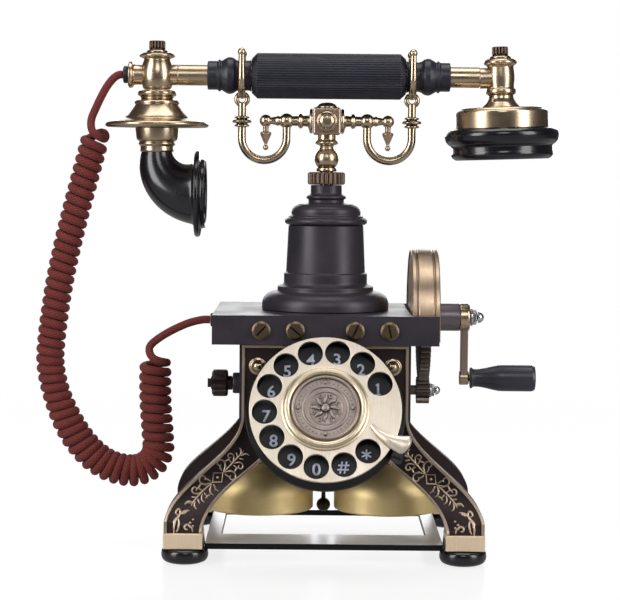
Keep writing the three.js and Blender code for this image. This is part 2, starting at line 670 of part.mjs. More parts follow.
function addCradle() {
  add("cradle_stem", cradleStem(), "antiqueBrass");
  add("cradle_block", cradleBlock(), "antiqueBrass");
  for (const [side, turn] of [["right", 0], ["left", Math.PI]]) {
    add(`cradle_arm_${side}`, cradleArm(), "antiqueBrass").rotation.z = turn;
    add(`cradle_yoke_${side}`, yoke(), "antiqueBrass").rotation.z = turn;
  }
}

function hookSwitch() {
  const body = block([-6, -8, PLATE.top + GAP], [6, 8, 169]);
  return joined(body, rod(2.4, 168, 175.7, 10));
}

// ---------------------------------------------------------------- handset, about its own centre
const handset = new THREE.Group();
handset.position.set(HANDSET.x, 0, HANDSET.z);
phone.add(handset);

function handsetGrip() {
  const { half, radius } = HANDSET;
  const inner = bore(HANDSET.tube, LARGE);
  return turnedX([
    [inner, -half], [radius - 3, -half], [radius, 3 - half], [radius, half - 3], [radius - 3, half],
    [inner, half], [inner, -half],
  ], LARGE);
}

// The turned black end piece between the grip and the tube, on the right.
function handsetCollar() {
  const inner = bore(HANDSET.tube, MEDIUM);
  const start = HANDSET.half + GAP;
  return turnedX([
    [inner, start], [9.8, start], [9.2, start + 1], [9.2, 56], ...arc([7.4, 61], 3.9, -60, 60, 4),
    [9, 66], [9.7, 66.6], [9.7, 67.8], [8.8, 68.4], [8.8, 74.5], [inner, 74.5], [inner, start],
  ]);
}

// One tube runs through both collars and the grip, from head to head.
const handsetTube = () => rodX(HANDSET.tube, -92.6, 92.6, MEDIUM);

// The short stub on a head's barrel that carries on the tube's line.
const stub = (from, to) => rodX(HANDSET.tube, from, to, MEDIUM);

function transmitterBarrel() {
  const barrel = turned([
    [0, -9], [8.4, -9], [9.6, -6.4], [10.3, -2.5], [10.3, 1], [9.6, 5.5], [8.2, 9.6], [8.6, 10.2],
    [10.8, 11.2], [11, 12.2], [8.8, 13.6], [0, 13.6],
  ]);
  const cordStub = turnedX([
    [0, -17.8], [7, -17.8], [8, -17], [8, -15.2], [6.3, -14.4], [6, -11], [6, 0], [0, 0],
  ]);
  return joined(barrel, finial(13.4), cordStub, stub(0, 12.7));
}

const finial = (height) => turned([
  [0, height], [6.4, height], [6.6, height + 1.4], [4.4, height + 2.2], [5, height + 2.8],
  [5, height + 7.2], [0, height + 7.8],
], SMALL);

function transmitterFlange() {
  const bottom = DISC.bottom - HANDSET.z;
  return turned([
    [0, -9.3], [10.6, -9.3], [12, -10.2], [12, -12.2], [10, -13.6], [10, -15], [13.4, -15.8],
    [13.9, -16.8], [13.9, -17.8], [15.6, -20.4], [18.8, -24.6], [29, -28.2], [DISC.radius, -29.8],
    [DISC.radius, -31.2], [30.5, bottom], [11, bottom], [11, -20], [0, -20],
  ], LARGE);
}

const microphoneCapsule = () => turned([[0, -31.8], [10.4, -31.8], [10.4, -23], [0, -23]], MEDIUM);

function hornCollar() {
  const hole = 7.8;
  return turned([
    [hole, -46.6], [10.2, -46.6], [10.2, -43.2], [11.3, -42.8], [11.3, -41.2], [12.2, -40.6],
    [13.2, -36], [13.4, -32.5], [hole, -32.5], [hole, -46.6],
  ]);
}

// An elbow that widens from its throat round a quarter turn to a flanged mouth facing +X.
function mouthHorn() {
  const { pivotX, wall, rim } = HORN;
  const pivotZ = HORN.pivotZ - HANDSET.z;
  const ring = (x, z, across, radius) => Array.from({ length: MEDIUM }, (_, i) => {
    const { x: along, y } = polar(radius, (2 * Math.PI * i) / MEDIUM);
    return vector(x + along * across.x, y, z + along * across.y);
  });
  const elbow = (share, thinner) => {
    const [inner, outer] = [11.6 - 4.7 * share, 30.8 + 13.7 * share];
    const across = polar(-1, (Math.PI / 2) * share);
    const middle = (inner + outer) / 2;
    const radius = (outer - inner) / 2 - thinner;
    return ring(pivotX + middle * across.x, pivotZ + middle * across.y, across, radius);
  };
  const shares = [0, 1, 2, 3, 4, 5].map((i) => i / 5);
  const mouth = [[1.6, 19.6], [2.4, rim], [5.4, rim], [6.2, 22], [8.8, 21.2], [8.8, 19.2], [3, 17.5]];
  const mouthZ = pivotZ - 25.7;
  return skin([
    ...shares.map((share) => elbow(share, 0)),
    ...mouth.map(([x, radius]) => ring(pivotX + x, mouthZ, polar(1, -Math.PI / 2), radius)),
    ...shares.reverse().map((share) => elbow(share, wall)),
  ]);
}

function cordGrommet() {
  return turnedX([[0, -20.9], [4.2, -20.9], [5.2, -20.2], [5.2, -18.1], [0, -18.1]], SMALL);
}

function receiverPost() {
  const post = turned([
    [0, -18], [12, -18], [9.4, -15.6], [7.6, -12], [7.5, -10.6], [9.1, -9.8], [9.1, -6.8], [8.1, -6],
    [8.5, 0], [8.1, 7.4], [10, 8.2], [10, 10.6], [8.2, 11.8], [0, 11.8],
  ]);
  return joined(post, finial(11.6), stub(-12.7, 0));
}

function receiverCup() {
  const outer = EAR.cap;
  return turned([
    [5, -18.3], [outer - 3, -18.3], ...arc([outer - 3, -21.3], 3, 70, 10, 2), [outer, -22], [outer, -31],
    [outer - 2, -31], [outer - 2, -21.8], [outer - 4, -20.3], [5, -20.3], [5, -18.3],
  ], LARGE);
}

function earCap() {
  const { ring, lower } = EAR;
  return turned([
    [26, -31.3], [31.6, -31.3], ...arc([31.6, -35], 3.7, 70, 0, 2), [ring, -38.6], [33.6, -41.4],
    [31, -42.8], ...arc([28, -46.6], lower - 28, 30, -60, 3), [29, -50.6], [18, -49.2], [4, -47.8],
    [4, -45.8], [24, -45.8], [26, -44], [26, -31.3],
  ], LARGE);
}

const receiverCapsule = () => turned([[0, -45.4], [22, -45.4], [22, -37], [0, -37]], MEDIUM);

function addHandset() {
  add("handset_grip", handsetGrip(), "blackSatin", handset);
  for (const [side, turn] of [["right", 0], ["left", Math.PI]]) {
    add(`handset_collar_${side}`, handsetCollar(), "blackSatin", handset).rotation.z = turn;
  }
  add("handset_tube", handsetTube(), "antiqueBrass", handset);
  const transmitter = new THREE.Group();
  transmitter.position.x = -HANDSET.head;
  handset.add(transmitter);
  add("transmitter_barrel", transmitterBarrel(), "antiqueBrass", transmitter);
  add("transmitter_flange", transmitterFlange(), "antiqueBrass", transmitter);
  add("microphone_capsule", microphoneCapsule(), "darkMetal", transmitter);
  add("horn_collar", hornCollar(), "antiqueBrass", transmitter);
  add("mouth_horn", mouthHorn(), "blackGloss", transmitter);
  add("cord_grommet", cordGrommet(), "blackSatin", transmitter);
  const receiver = new THREE.Group();
  receiver.position.x = HANDSET.head;
  receiver.rotation.y = -radians(EAR.tilt);
  handset.add(receiver);
  add("receiver_post", receiverPost(), "antiqueBrass", receiver);
  add("receiver_cup", receiverCup(), "antiqueBrass", receiver);
  add("ear_cap", earCap(), "blackGloss", receiver);
  add("receiver_capsule", receiverCapsule(), "darkMetal", receiver);
}

// ---------------------------------------------------------------- cord, in the plane Y = 0
const CORD_PATHS = {
  handsetLead: [
    [-126, 290], [-128.4, 289.8], [-131.8, 287.4], [-135.8, 282.2], [-139.8, 274.8], [-143.4, 267],
    [-146.2, 260.8], [-147.9, 256.7],
  ],
  coil: [
    [-142, 254.2], [-144.9, 242.5], [-151, 219.6], [-155, 204.5], [-159.6, 185.7], [-164.2, 164.4],
    [-167.2, 145.8], [-169.6, 127], [-170.4, 112.6], [-168.2, 98.6], [-164.4, 86.5], [-159.4, 75.2],
    [-153.4, 65.1], [-145.6, 55.8], [-136.6, 49], [-127, 45.4], [-116.8, 44.8], [-108, 48.8],
    [-103.4, 56.8], [-103.6, 68], [-105.1, 90.5], [-105.2, 115.3],
  ],
  baseLead: [
    [-71.4, 139.3], [-76, 139.2], [-83.3, 137.5], [-90, 134.8], [-96.9, 131.3], [-103.4, 127.2],
    [-109, 122.5], [-113.1, 117.6],
  ],
};

function cordTube(points, radius, steps, sides) {
  const path = new THREE.CatmullRomCurve3(points.map(([x, z]) => vector(x, 0, z)));
  return tube(path, radius, steps, sides);
}

function addCord() {
  const gland = turnedX([[0, -71.1], [3.6, -71.1], [4.2, -70.4], [4.2, -67.8], [0, -67.8]], SMALL);
  add("cord_gland", gland.translate(0, 0, 139.3), "paleBrass");
  add("cord_handset_lead", cordTube(CORD_PATHS.handsetLead, CORD.radius, 6, 8), "cordFabric");
  add("cord_coil", cordTube(CORD_PATHS.coil, CORD.coil, 36, 8), "cordFabric");
  add("cord_base_lead", cordTube(CORD_PATHS.baseLead, CORD.radius, 8, 8), "cordFabric");
}

// ---------------------------------------------------------------- assembly
function addBody() {
  add("base_frame", baseFrame(), "blackGloss");
  add("front_frame", legFrame(), "brownMetal");
  add("rear_frame", legFrame(), "brownMetal").rotation.z = Math.PI;
  add("body_housing", bodyHousing(), "darkMetal");
  add("chassis_plate", chassisPlate(), "darkMetal");
  add("circuit_board", circuitBoard(), "boardGreen");
  add("top_plate", topPlate(), "darkMetal");
  add("line_jack", lineJack(), "blackSatin");
  add("column", column(), "darkMetal");
  add("column_cap", columnCap(), "darkMetal");
  add("knurled_nut", knurledNut(), "bronze");
  add("hook_switch", hookSwitch(), "blackSatin");
  add("side_knob", sideKnob().translate(0, 0, KNOB.z), "brownMetal");
  add("ringer_magnet", ringerMagnet(), "gearSteel");
  add("bell_hammer", bellHammer(), "brownMetal");
}

addFeet();
addBody();
addBells();
addDial();
addCrank();
addPinion();
addCradle();
addHandset();
addCord();

export default phone;
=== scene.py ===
"""The looks of a table telephone with a crank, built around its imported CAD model.

Lengths are in millimetres in the telephone's own frame, whose origin is on the table under the column:
+X is towards the crank, -Y towards the user and +Z up. TO_ROW turns them into metres in the row frame.
"""
import json
import math

import bmesh
import bpy
from mathutils import Matrix, Vector


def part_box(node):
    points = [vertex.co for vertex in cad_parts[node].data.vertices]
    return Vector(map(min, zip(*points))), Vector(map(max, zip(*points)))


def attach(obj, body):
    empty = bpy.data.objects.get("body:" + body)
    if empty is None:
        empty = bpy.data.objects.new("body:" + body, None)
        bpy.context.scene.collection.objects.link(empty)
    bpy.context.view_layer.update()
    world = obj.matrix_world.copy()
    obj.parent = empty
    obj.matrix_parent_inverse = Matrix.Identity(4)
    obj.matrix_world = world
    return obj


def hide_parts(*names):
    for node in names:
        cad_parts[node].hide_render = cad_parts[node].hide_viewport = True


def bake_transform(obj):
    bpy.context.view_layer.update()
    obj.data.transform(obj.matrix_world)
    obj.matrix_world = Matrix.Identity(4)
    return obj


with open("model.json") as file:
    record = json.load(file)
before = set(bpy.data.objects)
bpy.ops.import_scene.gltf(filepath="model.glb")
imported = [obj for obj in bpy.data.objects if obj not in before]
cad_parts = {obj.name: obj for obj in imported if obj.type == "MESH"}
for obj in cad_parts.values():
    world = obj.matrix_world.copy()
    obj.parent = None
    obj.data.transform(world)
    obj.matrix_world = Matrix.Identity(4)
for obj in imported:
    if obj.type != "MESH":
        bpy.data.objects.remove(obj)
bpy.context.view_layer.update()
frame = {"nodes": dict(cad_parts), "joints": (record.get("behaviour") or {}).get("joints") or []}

MM = 0.001
JOINTS = {joint["name"]: joint for joint in frame["joints"]}
TAU = 2 * math.pi


def middle(node):
    """The middle of a CAD node's box, in metres."""
    low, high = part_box(node)
    return (low + high) / 2


AXIS = Vector((middle("column").x, middle("column").y, 0))
TO_ROW = Matrix.Translation(AXIS) @ Matrix.Scale(MM, 4)
TO_OWN = TO_ROW.inverted()


def joint_place(name):
    """The point that a hinge turns about, in the telephone's own millimetres."""
    return TO_OWN @ Vector(JOINTS[name]["pos_m"])


# ---------------------------------------------------------------- driving dimensions
ROUNDING = 0.45  # how far an edge's rounding reaches along its two faces
HANDSET_CENTRE = TO_OWN @ middle("handset_grip")
HEAD_REACH = 105.6  # from the handset's middle to the axis of each of its heads
EAR_TILT = math.radians(2)
DIAL_CENTRE = joint_place("dial_turn")
DIAL_TILT = math.radians(26)
FINGER_HOLES = [math.radians(26.3 + 26.16 * i) for i in range(12)]
FINGER_HOLE_CIRCLE = 35.3
FINGER_HOLE_RADIUS = 7.35
DIGIT_CIRCLE = 34.3
CORD_RADIUS = 2.6
COIL_RADIUS = 6.1  # from the coil's middle line to the cord's own
COIL_PITCH = 6.1
BEND_CROWDING = 0.7  # how far the rings crowd together round a bend
RING_SLACK = 1.2  # how much wider the hanging rings at the base end are
BRACKET = {"half_width": 49.7, "top": 128.7, "front": -50, "back": -43}
LEG = {"inside": 71, "outside": 94.5, "splay": 23, "depth": 14, "block_top": 18.6, "bottom": 9.3}
LEG_OUTER = ((49.7, 86), (49.7, 62), (92, 47), (LEG["outside"], 25))
LEG_INNER = ((37.5, 59.2), (48, 49), (70, 37), (LEG["inside"] + 1, 20))
ARCH = ((39, 60.5), (28, 54), (14, 57), (0, 57))
RECESS = 1.1  # from the raised borders down to the field
FIELD_HOLLOW = 0.9  # how much deeper the field is along a leg's middle
VINE_MIDDLE = 31  # from a leg's top to the diamond of its ornament, along the leg
BORDER = 1.8
BELL = {"radius": 33.5, "rim": 22.5, "top": 50.5, "wall": 1.8}
GUARD = {"left": 52.3, "right": 69.0, "radius": 42.1, "foot": -12.1}
CRADLE = {"ball": 24.8, "pendant": 37.6, "fork": 52.3, "collar": 262, "eye": 275.6, "tip": 303.5}
CAMERA = {"place": (-0.0135, -1.2218, 0.2385), "lens": 116.13, "pitch": 86, "roll": -0.5}  # metres, degrees
FLOOR_REACH = 1.1  # metres
LIGHT_AIM = Vector((0, 0, 0.16))  # metres

# How finely curves are drawn, in points or faces
TURNED_SIDES = 96
RING_STEPS = 26  # of each ring of the coil
CORD_SIDES = 12
CORD_STEP = 1.45  # millimetres along the cord
LEG_STEPS = 40
ARCH_STEPS = 14
SMOOTH_ANGLE = 34  # in degrees: an edge sharper than this stays crisp
FLAT_CORNER = math.radians(14)  # a corner of a profile flatter than this isn't rounded
CORNER_SHARE = 0.42  # the most of a side that one corner's rounding takes

AT_DIAL = Matrix.Translation(DIAL_CENTRE) @ Matrix.Rotation(math.pi / 2 - DIAL_TILT, 4, "X")
AT_CRANK = Matrix.Translation((0, 0, joint_place("crank_turn").z))
AT_GRIP = Matrix.Translation((0, 0, joint_place("grip_spin").z))
AT_PINION = Matrix.Translation((0, 0, joint_place("pinion_turn").z))
AT_KNOB = Matrix.Translation((0, 0, joint_place("knob_turn").z))
AT_HANDSET = Matrix.Translation(HANDSET_CENTRE)
AT_MOUTH = AT_HANDSET @ Matrix.Translation((-HEAD_REACH, 0, 0))
AT_EAR = AT_HANDSET @ Matrix.Translation((HEAD_REACH, 0, 0)) @ Matrix.Rotation(-EAR_TILT, 4, "Y")
CROSS_HEIGHT = (TO_OWN @ middle("cradle_block")).z - 0.3  # the middle of the cradle's cross block
AT_CRADLE = Matrix.Translation((0, 0, CROSS_HEIGHT))
ALONG_X = Matrix.Rotation(math.pi / 2, 4, "Y")  # turns a +Z axis to +X
TO_FRONT = Matrix.Rotation(math.pi / 2, 4, "X")  # turns a +Z axis to -Y
HALF_TURN = Matrix.Rotation(math.pi, 4, "Z")
BOTH_SIDES = (("right", Matrix()), ("left", HALF_TURN))


# ---------------------------------------------------------------- camera
def make_camera():
    """Looks a little down at the telephone from the front, with a slight roll, as in the photo."""
    data = bpy.data.cameras.new("camera")
    data.sensor_width = 36
    data.lens = CAMERA["lens"]
    camera = bpy.data.objects.new("camera", data)
    bpy.context.scene.collection.objects.link(camera)
    camera.location = CAMERA["place"]
    camera.rotation_euler = (math.radians(CAMERA["pitch"]), math.radians(CAMERA["roll"]), 0)
    bpy.context.scene.camera = camera


make_camera()


# ---------------------------------------------------------------- shapes
class Shape:
    """Corners and faces in millimetres, each face with the number of its material."""

    def __init__(self):
        self.points = []
        self.faces = []
        self.marks = []

    def add(self, points, faces, at=Matrix(), mark=0):
        start = len(self.points)
        self.points += [at @ Vector(point) for point in points]
        self.faces += [[start + corner for corner in face] for face in faces]
        self.marks += [mark] * len(faces)
        return self


def rounded(profile, reach=ROUNDING, steps=4):
    """The profile with a small curve in place of each real corner."""
    closed = profile[0] == profile[-1]
    points = [Vector(p) for p in (profile[:-1] if closed else profile)]
    made = []
    for i, point in enumerate(points):
        if not closed and i in (0, len(points) - 1):
            made.append(point)
            continue
        before = points[i - 1] - point
        after = points[(i + 1) % len(points)] - point
        if before.length < 1e-6 or after.length < 1e-6 or before.angle(-after) < FLAT_CORNER:
            made.append(point)
            continue
        cut = min(reach, CORNER_SHARE * before.length, CORNER_SHARE * after.length)
        start = point + before.normalized() * cut
        end = point + after.normalized() * cut
        for step in range(steps + 1):
            share = step / steps
            made.append(start.lerp(point, share).lerp(point.lerp(end, share), share))
    if closed:
        made.append(made[0])
    return [tuple(p) for p in made]


def between(first, last, steps):
    """Evenly spaced values from the first to the last, both included."""
    return [first + (last - first) * i / steps for i in range(steps + 1)]


def polar(radius, angle, centre=(0, 0)):
    """The point at an angle round a centre."""
    return (centre[0] + radius * math.cos(angle), centre[1] + radius * math.sin(angle))


def arc(centre, size, first, last, steps=10):
    """Points of a profile along an arc, between two angles in degrees."""
    return [polar(size, math.radians(angle), centre) for angle in between(first, last, steps)]


def ring_faces(rows, sides, closed_row=False):
    """Quads between neighbouring rings of as many corners."""
    faces = []
    for row in range(rows if closed_row else rows - 1):
        for side in range(sides):
            a = row * sides + side
            b = row * sides + (side + 1) % sides
            c = (row + 1) % rows * sides + (side + 1) % sides
            d = (row + 1) % rows * sides + side
            faces.append([a, b, c, d])
    return faces


def turned(shape, profile, at=Matrix(), sides=TURNED_SIDES, mark=0, flutes=None, reach=ROUNDING):
    """A solid turned about Z. flutes is (how many, how deep, lowest height, highest height)."""
    rows = rounded(profile, reach) if reach else list(profile)
    closed = rows[0] == rows[-1]
    if closed:
        rows = rows[:-1]
    caps = [] if closed else [row for row in (0, len(rows) - 1) if rows[row][0] < 1e-6]
    kept = [row for i, row in enumerate(rows) if closed or i not in caps]
    points = []
    for radius, height in kept:
        for side in range(sides):
            angle = TAU * side / sides
            r = radius
            if flutes and flutes[2] <= height <= flutes[3]:
                r -= flutes[1] * (0.5 - 0.5 * math.cos(flutes[0] * angle)) ** 2
            points.append((r * math.cos(angle), r * math.sin(angle), height))
    faces = ring_faces(len(kept), sides, closed)
    if 0 in caps:
        points.append((0, 0, rows[0][1]))
        faces += [[len(points) - 1, (side + 1) % sides, side] for side in range(sides)]
    if len(rows) - 1 in caps:
        last = (len(kept) - 1) * sides
        points.append((0, 0, rows[-1][1]))
        faces += [[len(points) - 1, last + side, last + (side + 1) % sides] for side in range(sides)]
    return shape.add(points, faces, at, mark)


def lofted(shape, rings, at=Matrix(), closed=False):
    """A skin over rings of as many corners. Its ends are filled unless the last ring meets the first."""
    sides = len(rings[0])
    faces = ring_faces(len(rings), sides, closed)
    if not closed:
        faces.append(list(range(sides)))
        faces.append([(len(rings) - 1) * sides + side for side in reversed(range(sides))])
    return shape.add([point for ring in rings for point in ring], faces, at)


def swept(shape, path, radius, at=Matrix(), sides=16, up=Vector((0, 1, 0))):
    """A round rod along a path; radius is a number or a function of the share of the way."""
    points = [Vector(p) for p in path]
    last = len(points) - 1
    side_way = None
    rings = []
    for i, point in enumerate(points):
        ahead = (points[min(i + 1, last)] - points[max(i - 1, 0)]).normalized()
        if side_way is None:
            side_way = up.cross(ahead)
            if side_way.length < 1e-3:
                side_way = Vector((1, 0, 0))
        side_way = (side_way - side_way.dot(ahead) * ahead).normalized()
        other = ahead.cross(side_way)
        size = radius(i / last) if callable(radius) else radius
        turns = [TAU * side / sides for side in range(sides)]
        rings.append([point + size * (math.cos(turn) * side_way + math.sin(turn) * other) for turn in turns])
    return lofted(shape, rings, at)


def bead(shape, size, at, sides):
    """Half a ball that stands on the XY plane."""
    turned(shape, [(0, 0)] + arc((0, 0), size, 0, 90, 5), at, sides=sides, reach=0)


def box(shape, low, high, at=Matrix()):
    """A block between two opposite corners."""
    points = [(x, y, z) for x in (low[0], high[0]) for y in (low[1], high[1]) for z in (low[2], high[2])]
    faces = [[0, 1, 3, 2], [4, 6, 7, 5], [0, 4, 5, 1], [2, 3, 7, 6], [0, 2, 6, 4], [1, 5, 7, 3]]
    return shape.add(points, faces, at)


def plate(shape, outline, bottom, top, at=Matrix(), holes=()):
    """A flat outline in X and Y with holes in it, given a thickness along Z."""
    mesh = bmesh.new()
    loops = []
    for loop in [outline, *holes]:
        corners = [mesh.verts.new((x, y, bottom)) for x, y in loop]
        loops.append(corners)
        for i, corner in enumerate(corners):
            mesh.edges.new((corner, corners[(i + 1) % len(corners)]))
    filled = bmesh.ops.triangle_fill(mesh, use_beauty=True, use_dissolve=False, edges=mesh.edges[:])
    flat = [face for face in filled["geom"] if isinstance(face, bmesh.types.BMFace)]
    mesh.verts.index_update()
    count = len(mesh.verts)
    points = [vert.co[:] for vert in mesh.verts]
    points += [(x, y, top) for x, y, _ in points]
    faces = []
    for face in flat:
        corners = [vert.index for vert in face.verts]
        if face.normal.z > 0:
            corners.reverse()
        faces.append(corners)
        faces.append([count + corner for corner in reversed(corners)])
    for loop in loops:
        for i, corner in enumerate(loop):
            a, b = corner.index, loop[(i + 1) % len(loop)].index
            faces.append([a, b, count + b, count + a])
    mesh.free()
    return shape.add(points, faces, at)


def circle(radius, sides, centre=(0, 0)):
    """The corners of a many-sided outline round a centre."""
    return [polar(radius, TAU * i / sides, centre) for i in range(sides)]


def bezier(a, b, c, d, steps):
    """A curve from a to d, which sets off towards b and comes in from c."""
    a, b, c, d = Vector(a), Vector(b), Vector(c), Vector(d)
    points = []
    for i in range(steps + 1):
        t = i / steps
        s = 1 - t
        points.append(s ** 3 * a + 3 * s * s * t * b + 3 * s * t * t * c + t ** 3 * d)
    return points


def catmull(route, steps):
    """A smooth line through the route's points, with as many steps between each two of them."""
    points = [Vector(p) for p in route]
    points = [2 * points[0] - points[1], *points, 2 * points[-1] - points[-2]]
    line = []
    for a, b, c, d in zip(points, points[1:], points[2:], points[3:]):
        for step in range(steps):
            t = step / steps
            square = (2 * a - 5 * b + 4 * c - d) * t * t
            cube = (3 * b - a - 3 * c + d) * t ** 3
            line.append(0.5 * (2 * b + (c - a) * t + square + cube))
    line.append(points[-2])
    return line


def piece(name, shape, materials, body, replaces=(), bevel=0.0, smooth_angle=SMOOTH_ANGLE):
    """The shape as an object that rides on a CAD body."""
    mesh = bpy.data.meshes.new(name)
    mesh.from_pydata([TO_ROW @ point for point in shape.points], [], shape.faces)
    for material in materials if isinstance(materials, list) else [materials]:
        mesh.materials.append(material)
    mesh.polygons.foreach_set("material_index", shape.marks)
    tidy = bmesh.new()
    tidy.from_mesh(mesh)
    bmesh.ops.recalc_face_normals(tidy, faces=tidy.faces)
    tidy.to_mesh(mesh)
    tidy.free()
    made = bpy.data.objects.new(name, mesh)
    bpy.context.scene.collection.objects.link(made)
    finish_edges(made, bevel, smooth_angle)
    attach(made, body)
    if replaces:
        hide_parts(*replaces)
    return made


def turned_piece(name, profile, at, material, body, slot, replaces=(), smooth_angle=SMOOTH_ANGLE, **turning):
    """A piece that is one turned solid."""
    shape = turned(Shape(), profile, at, **turning)
    return piece(name, shape, material, body, replaces, smooth_angle=smooth_angle)


def finish_edges(made, bevel, smooth_angle=SMOOTH_ANGLE):
    """Smooth shading with a small rounding on sharp edges."""
    made.data.polygons.foreach_set("use_smooth", [True] * len(made.data.polygons))
    if bevel:
        edge = made.modifiers.new("edge", "BEVEL")
        edge.width = bevel * MM
        edge.segments = 3
        edge.limit_method = "ANGLE"
        edge.angle_limit = math.radians(smooth_angle)
        edge.harden_normals = False
    else:
        made.data.set_sharp_from_angle(angle=math.radians(smooth_angle))
    normals = made.modifiers.new("normals", "WEIGHTED_NORMAL")
    normals.keep_sharp = True


# ---------------------------------------------------------------- materials
def tone(red, green, blue):
    """A colour given as it looks on a screen, from 0 to 255."""
    def linear(value):
        value /= 255
        return value / 12.92 if value <= 0.04045 else ((value + 0.055) / 1.055) ** 2.4
    return (linear(red), linear(green), linear(blue), 1)


class Finish:
    """A material whose nodes are added one call at a time."""

    def __init__(self, name, metallic, **constant):
        self.material = bpy.data.materials.new(name)
        self.material.use_nodes = True
        self.tree = self.material.node_tree
        self.shader = self.tree.nodes["Principled BSDF"]
        self.shader.inputs["Metallic"].default_value = metallic
        for socket, value in constant.items():
            self.shader.inputs[socket.replace("_", " ")].default_value = value
        self.place = self.tree.nodes.new("ShaderNodeTexCoord").outputs["Object"]

    def node(self, kind, **links):
        made = self.tree.nodes.new(kind)
        for socket, value in links.items():
            self.set(made.inputs[socket.replace("_", " ")], value)
        return made

    def set(self, socket, value):
        """Links a socket to another one, or gives it a constant."""
        if isinstance(value, bpy.types.NodeSocket):
            self.tree.links.new(value, socket)
        else:
            socket.default_value = value

    def stretched(self, scale):
        mapping = self.node("ShaderNodeMapping", Vector=self.place)
        mapping.inputs["Scale"].default_value = scale
        return mapping.outputs["Vector"]

    def noise(self, scale, detail, roughness=0.55, stretch=None):
        """Cloudy values about 0.5; a greater scale is finer."""
        vector = self.stretched(stretch) if stretch else self.place
        made = self.node("ShaderNodeTexNoise", Vector=vector, Scale=scale, Detail=detail, Roughness=roughness)
        return made.outputs["Fac"]

    def ramp(self, value, stops):
        """A colour for a value, blended between stops of (value, colour)."""
        made = self.node("ShaderNodeValToRGB", Fac=value)
        elements = made.color_ramp.elements
        while len(elements) < len(stops):
            elements.new(0.5)
        for element, (position, colour) in zip(elements, stops):
            element.position = position
            element.color = colour
        return made.outputs["Color"]

    def level(self, value, low, high, start=0.3, end=0.7):
        """Low up to the start of a range of values, high from its end, and even between."""
        made = self.node("ShaderNodeMapRange", Value=value)
        for socket, number in (("From Min", start), ("From Max", end), ("To Min", low), ("To Max", high)):
            made.inputs[socket].default_value = number
        return made.outputs["Result"]

    def mix(self, factor, a, b):
        """Colour a where the factor is 0 and colour b where it is 1."""
        made = self.tree.nodes.new("ShaderNodeMix")
        made.data_type = "RGBA"
        colours = [socket for socket in made.inputs if socket.type == "RGBA"]
        self.set(made.inputs["Factor"], factor)
        self.set(colours[0], a)
        self.set(colours[1], b)
        return next(socket for socket in made.outputs if socket.type == "RGBA")

    def maths(self, operation, a, b=0.0):
        made = self.tree.nodes.new("ShaderNodeMath")
        made.operation = operation
        self.set(made.inputs[0], a)
        self.set(made.inputs[1], b)
        return made.outputs[0]

    def brushing(self, scale, along):
        """Fine scratches round or across one axis."""
        return self.noise(scale, detail=2, roughness=0.5, stretch=BRUSHED[along])

    def rubbed(self, distance, low, high):
        """White where polishing reaches, black in crevices and next to raised edges."""
        return self.ramp(self.hollows(distance), [(low, tone(0, 0, 0)), (high, tone(255, 255, 255))])

    def hollows(self, distance):
        """1 on open surfaces, towards 0 where others stand within the distance."""
        made = self.node("ShaderNodeAmbientOcclusion", Distance=distance * MM)
        made.only_local = True
        made.samples = 6
        return made.outputs["AO"]

    def bump(self, height, distance, strength=1.0):
        made = self.node("ShaderNodeBump", Height=height, Distance=distance * MM, Strength=strength)
        self.tree.links.new(made.outputs["Normal"], self.shader.inputs["Normal"])

    def look(self, colour, roughness):
        """The finished material."""
        self.set(self.shader.inputs["Base Color"], colour)
        self.set(self.shader.inputs["Roughness"], roughness)
        return self.material


BRUSHED = {"x": (1, 0.02, 0.02), "y": (0.02, 1, 0.02), "z": (0.02, 0.02, 1)}


def brass(name, light, dark, along="z", rough=0.3, patina=2.5, metallic=1.0):
    """Brass with turning marks across one axis, darkened where polishing can't reach."""
    finish = Finish(name, metallic)
    marks = finish.brushing(3200, along)
    clouds = finish.noise(70, detail=5)
    clean = finish.mix(finish.level(clouds, 0, 0.35), light, finish.mix(0.5, light, dark))
    colour = finish.mix(finish.rubbed(patina, 0.35, 0.86), dark, clean)
    streaky = finish.mix(finish.level(marks, 0, 0.16), colour, dark)
    finish.bump(marks, distance=0.012, strength=0.35)
    return finish.look(streaky, finish.level(clouds, rough - 0.05, rough + 0.08))


def painted(name, base, worn, rough=0.42, grain=0.02, metallic=0.3, **constant):
    """Satin lacquer on metal: cloudy, finely grained, rubbed a little lighter in places."""
    finish = Finish(name, metallic, **constant)
    fine = finish.noise(1400, detail=3)
    clouds = finish.noise(45, detail=5)
    colour = finish.mix(finish.level(clouds, 0, 0.5), base, worn)
    colour = finish.mix(finish.level(fine, 0, 0.25), colour, worn)
    finish.bump(fine, distance=grain, strength=0.5)
    return finish.look(colour, finish.level(clouds, rough - 0.05, rough + 0.07))


def moulded(name, base, light, rough, coat, grain=0.01):
    """Dense plastic with a faint mottle under its polish."""
    finish = Finish(name, metallic=0.0, Coat_Weight=coat, Coat_Roughness=0.12)
    clouds = finish.noise(60, detail=4)
    fine = finish.noise(2200, detail=2)
    colour = finish.mix(finish.level(clouds, 0, 0.6), base, light)
    finish.bump(fine, distance=grain, strength=0.3)
    return finish.look(colour, finish.level(fine, rough - 0.03, rough + 0.05))


def steel(name, base, dark, rough, along="x"):
    """Bare steel with fine scratches, dark in its crevices."""
    finish = Finish(name, metallic=1.0)
    marks = finish.brushing(2600, along)
    scratched = finish.mix(finish.level(marks, 0, 0.3), base, dark)
    colour = finish.mix(finish.rubbed(1.5, 0.3, 0.8), dark, scratched)
    finish.bump(marks, distance=0.008, strength=0.3)
    return finish.look(colour, finish.level(marks, rough, rough + 0.08))


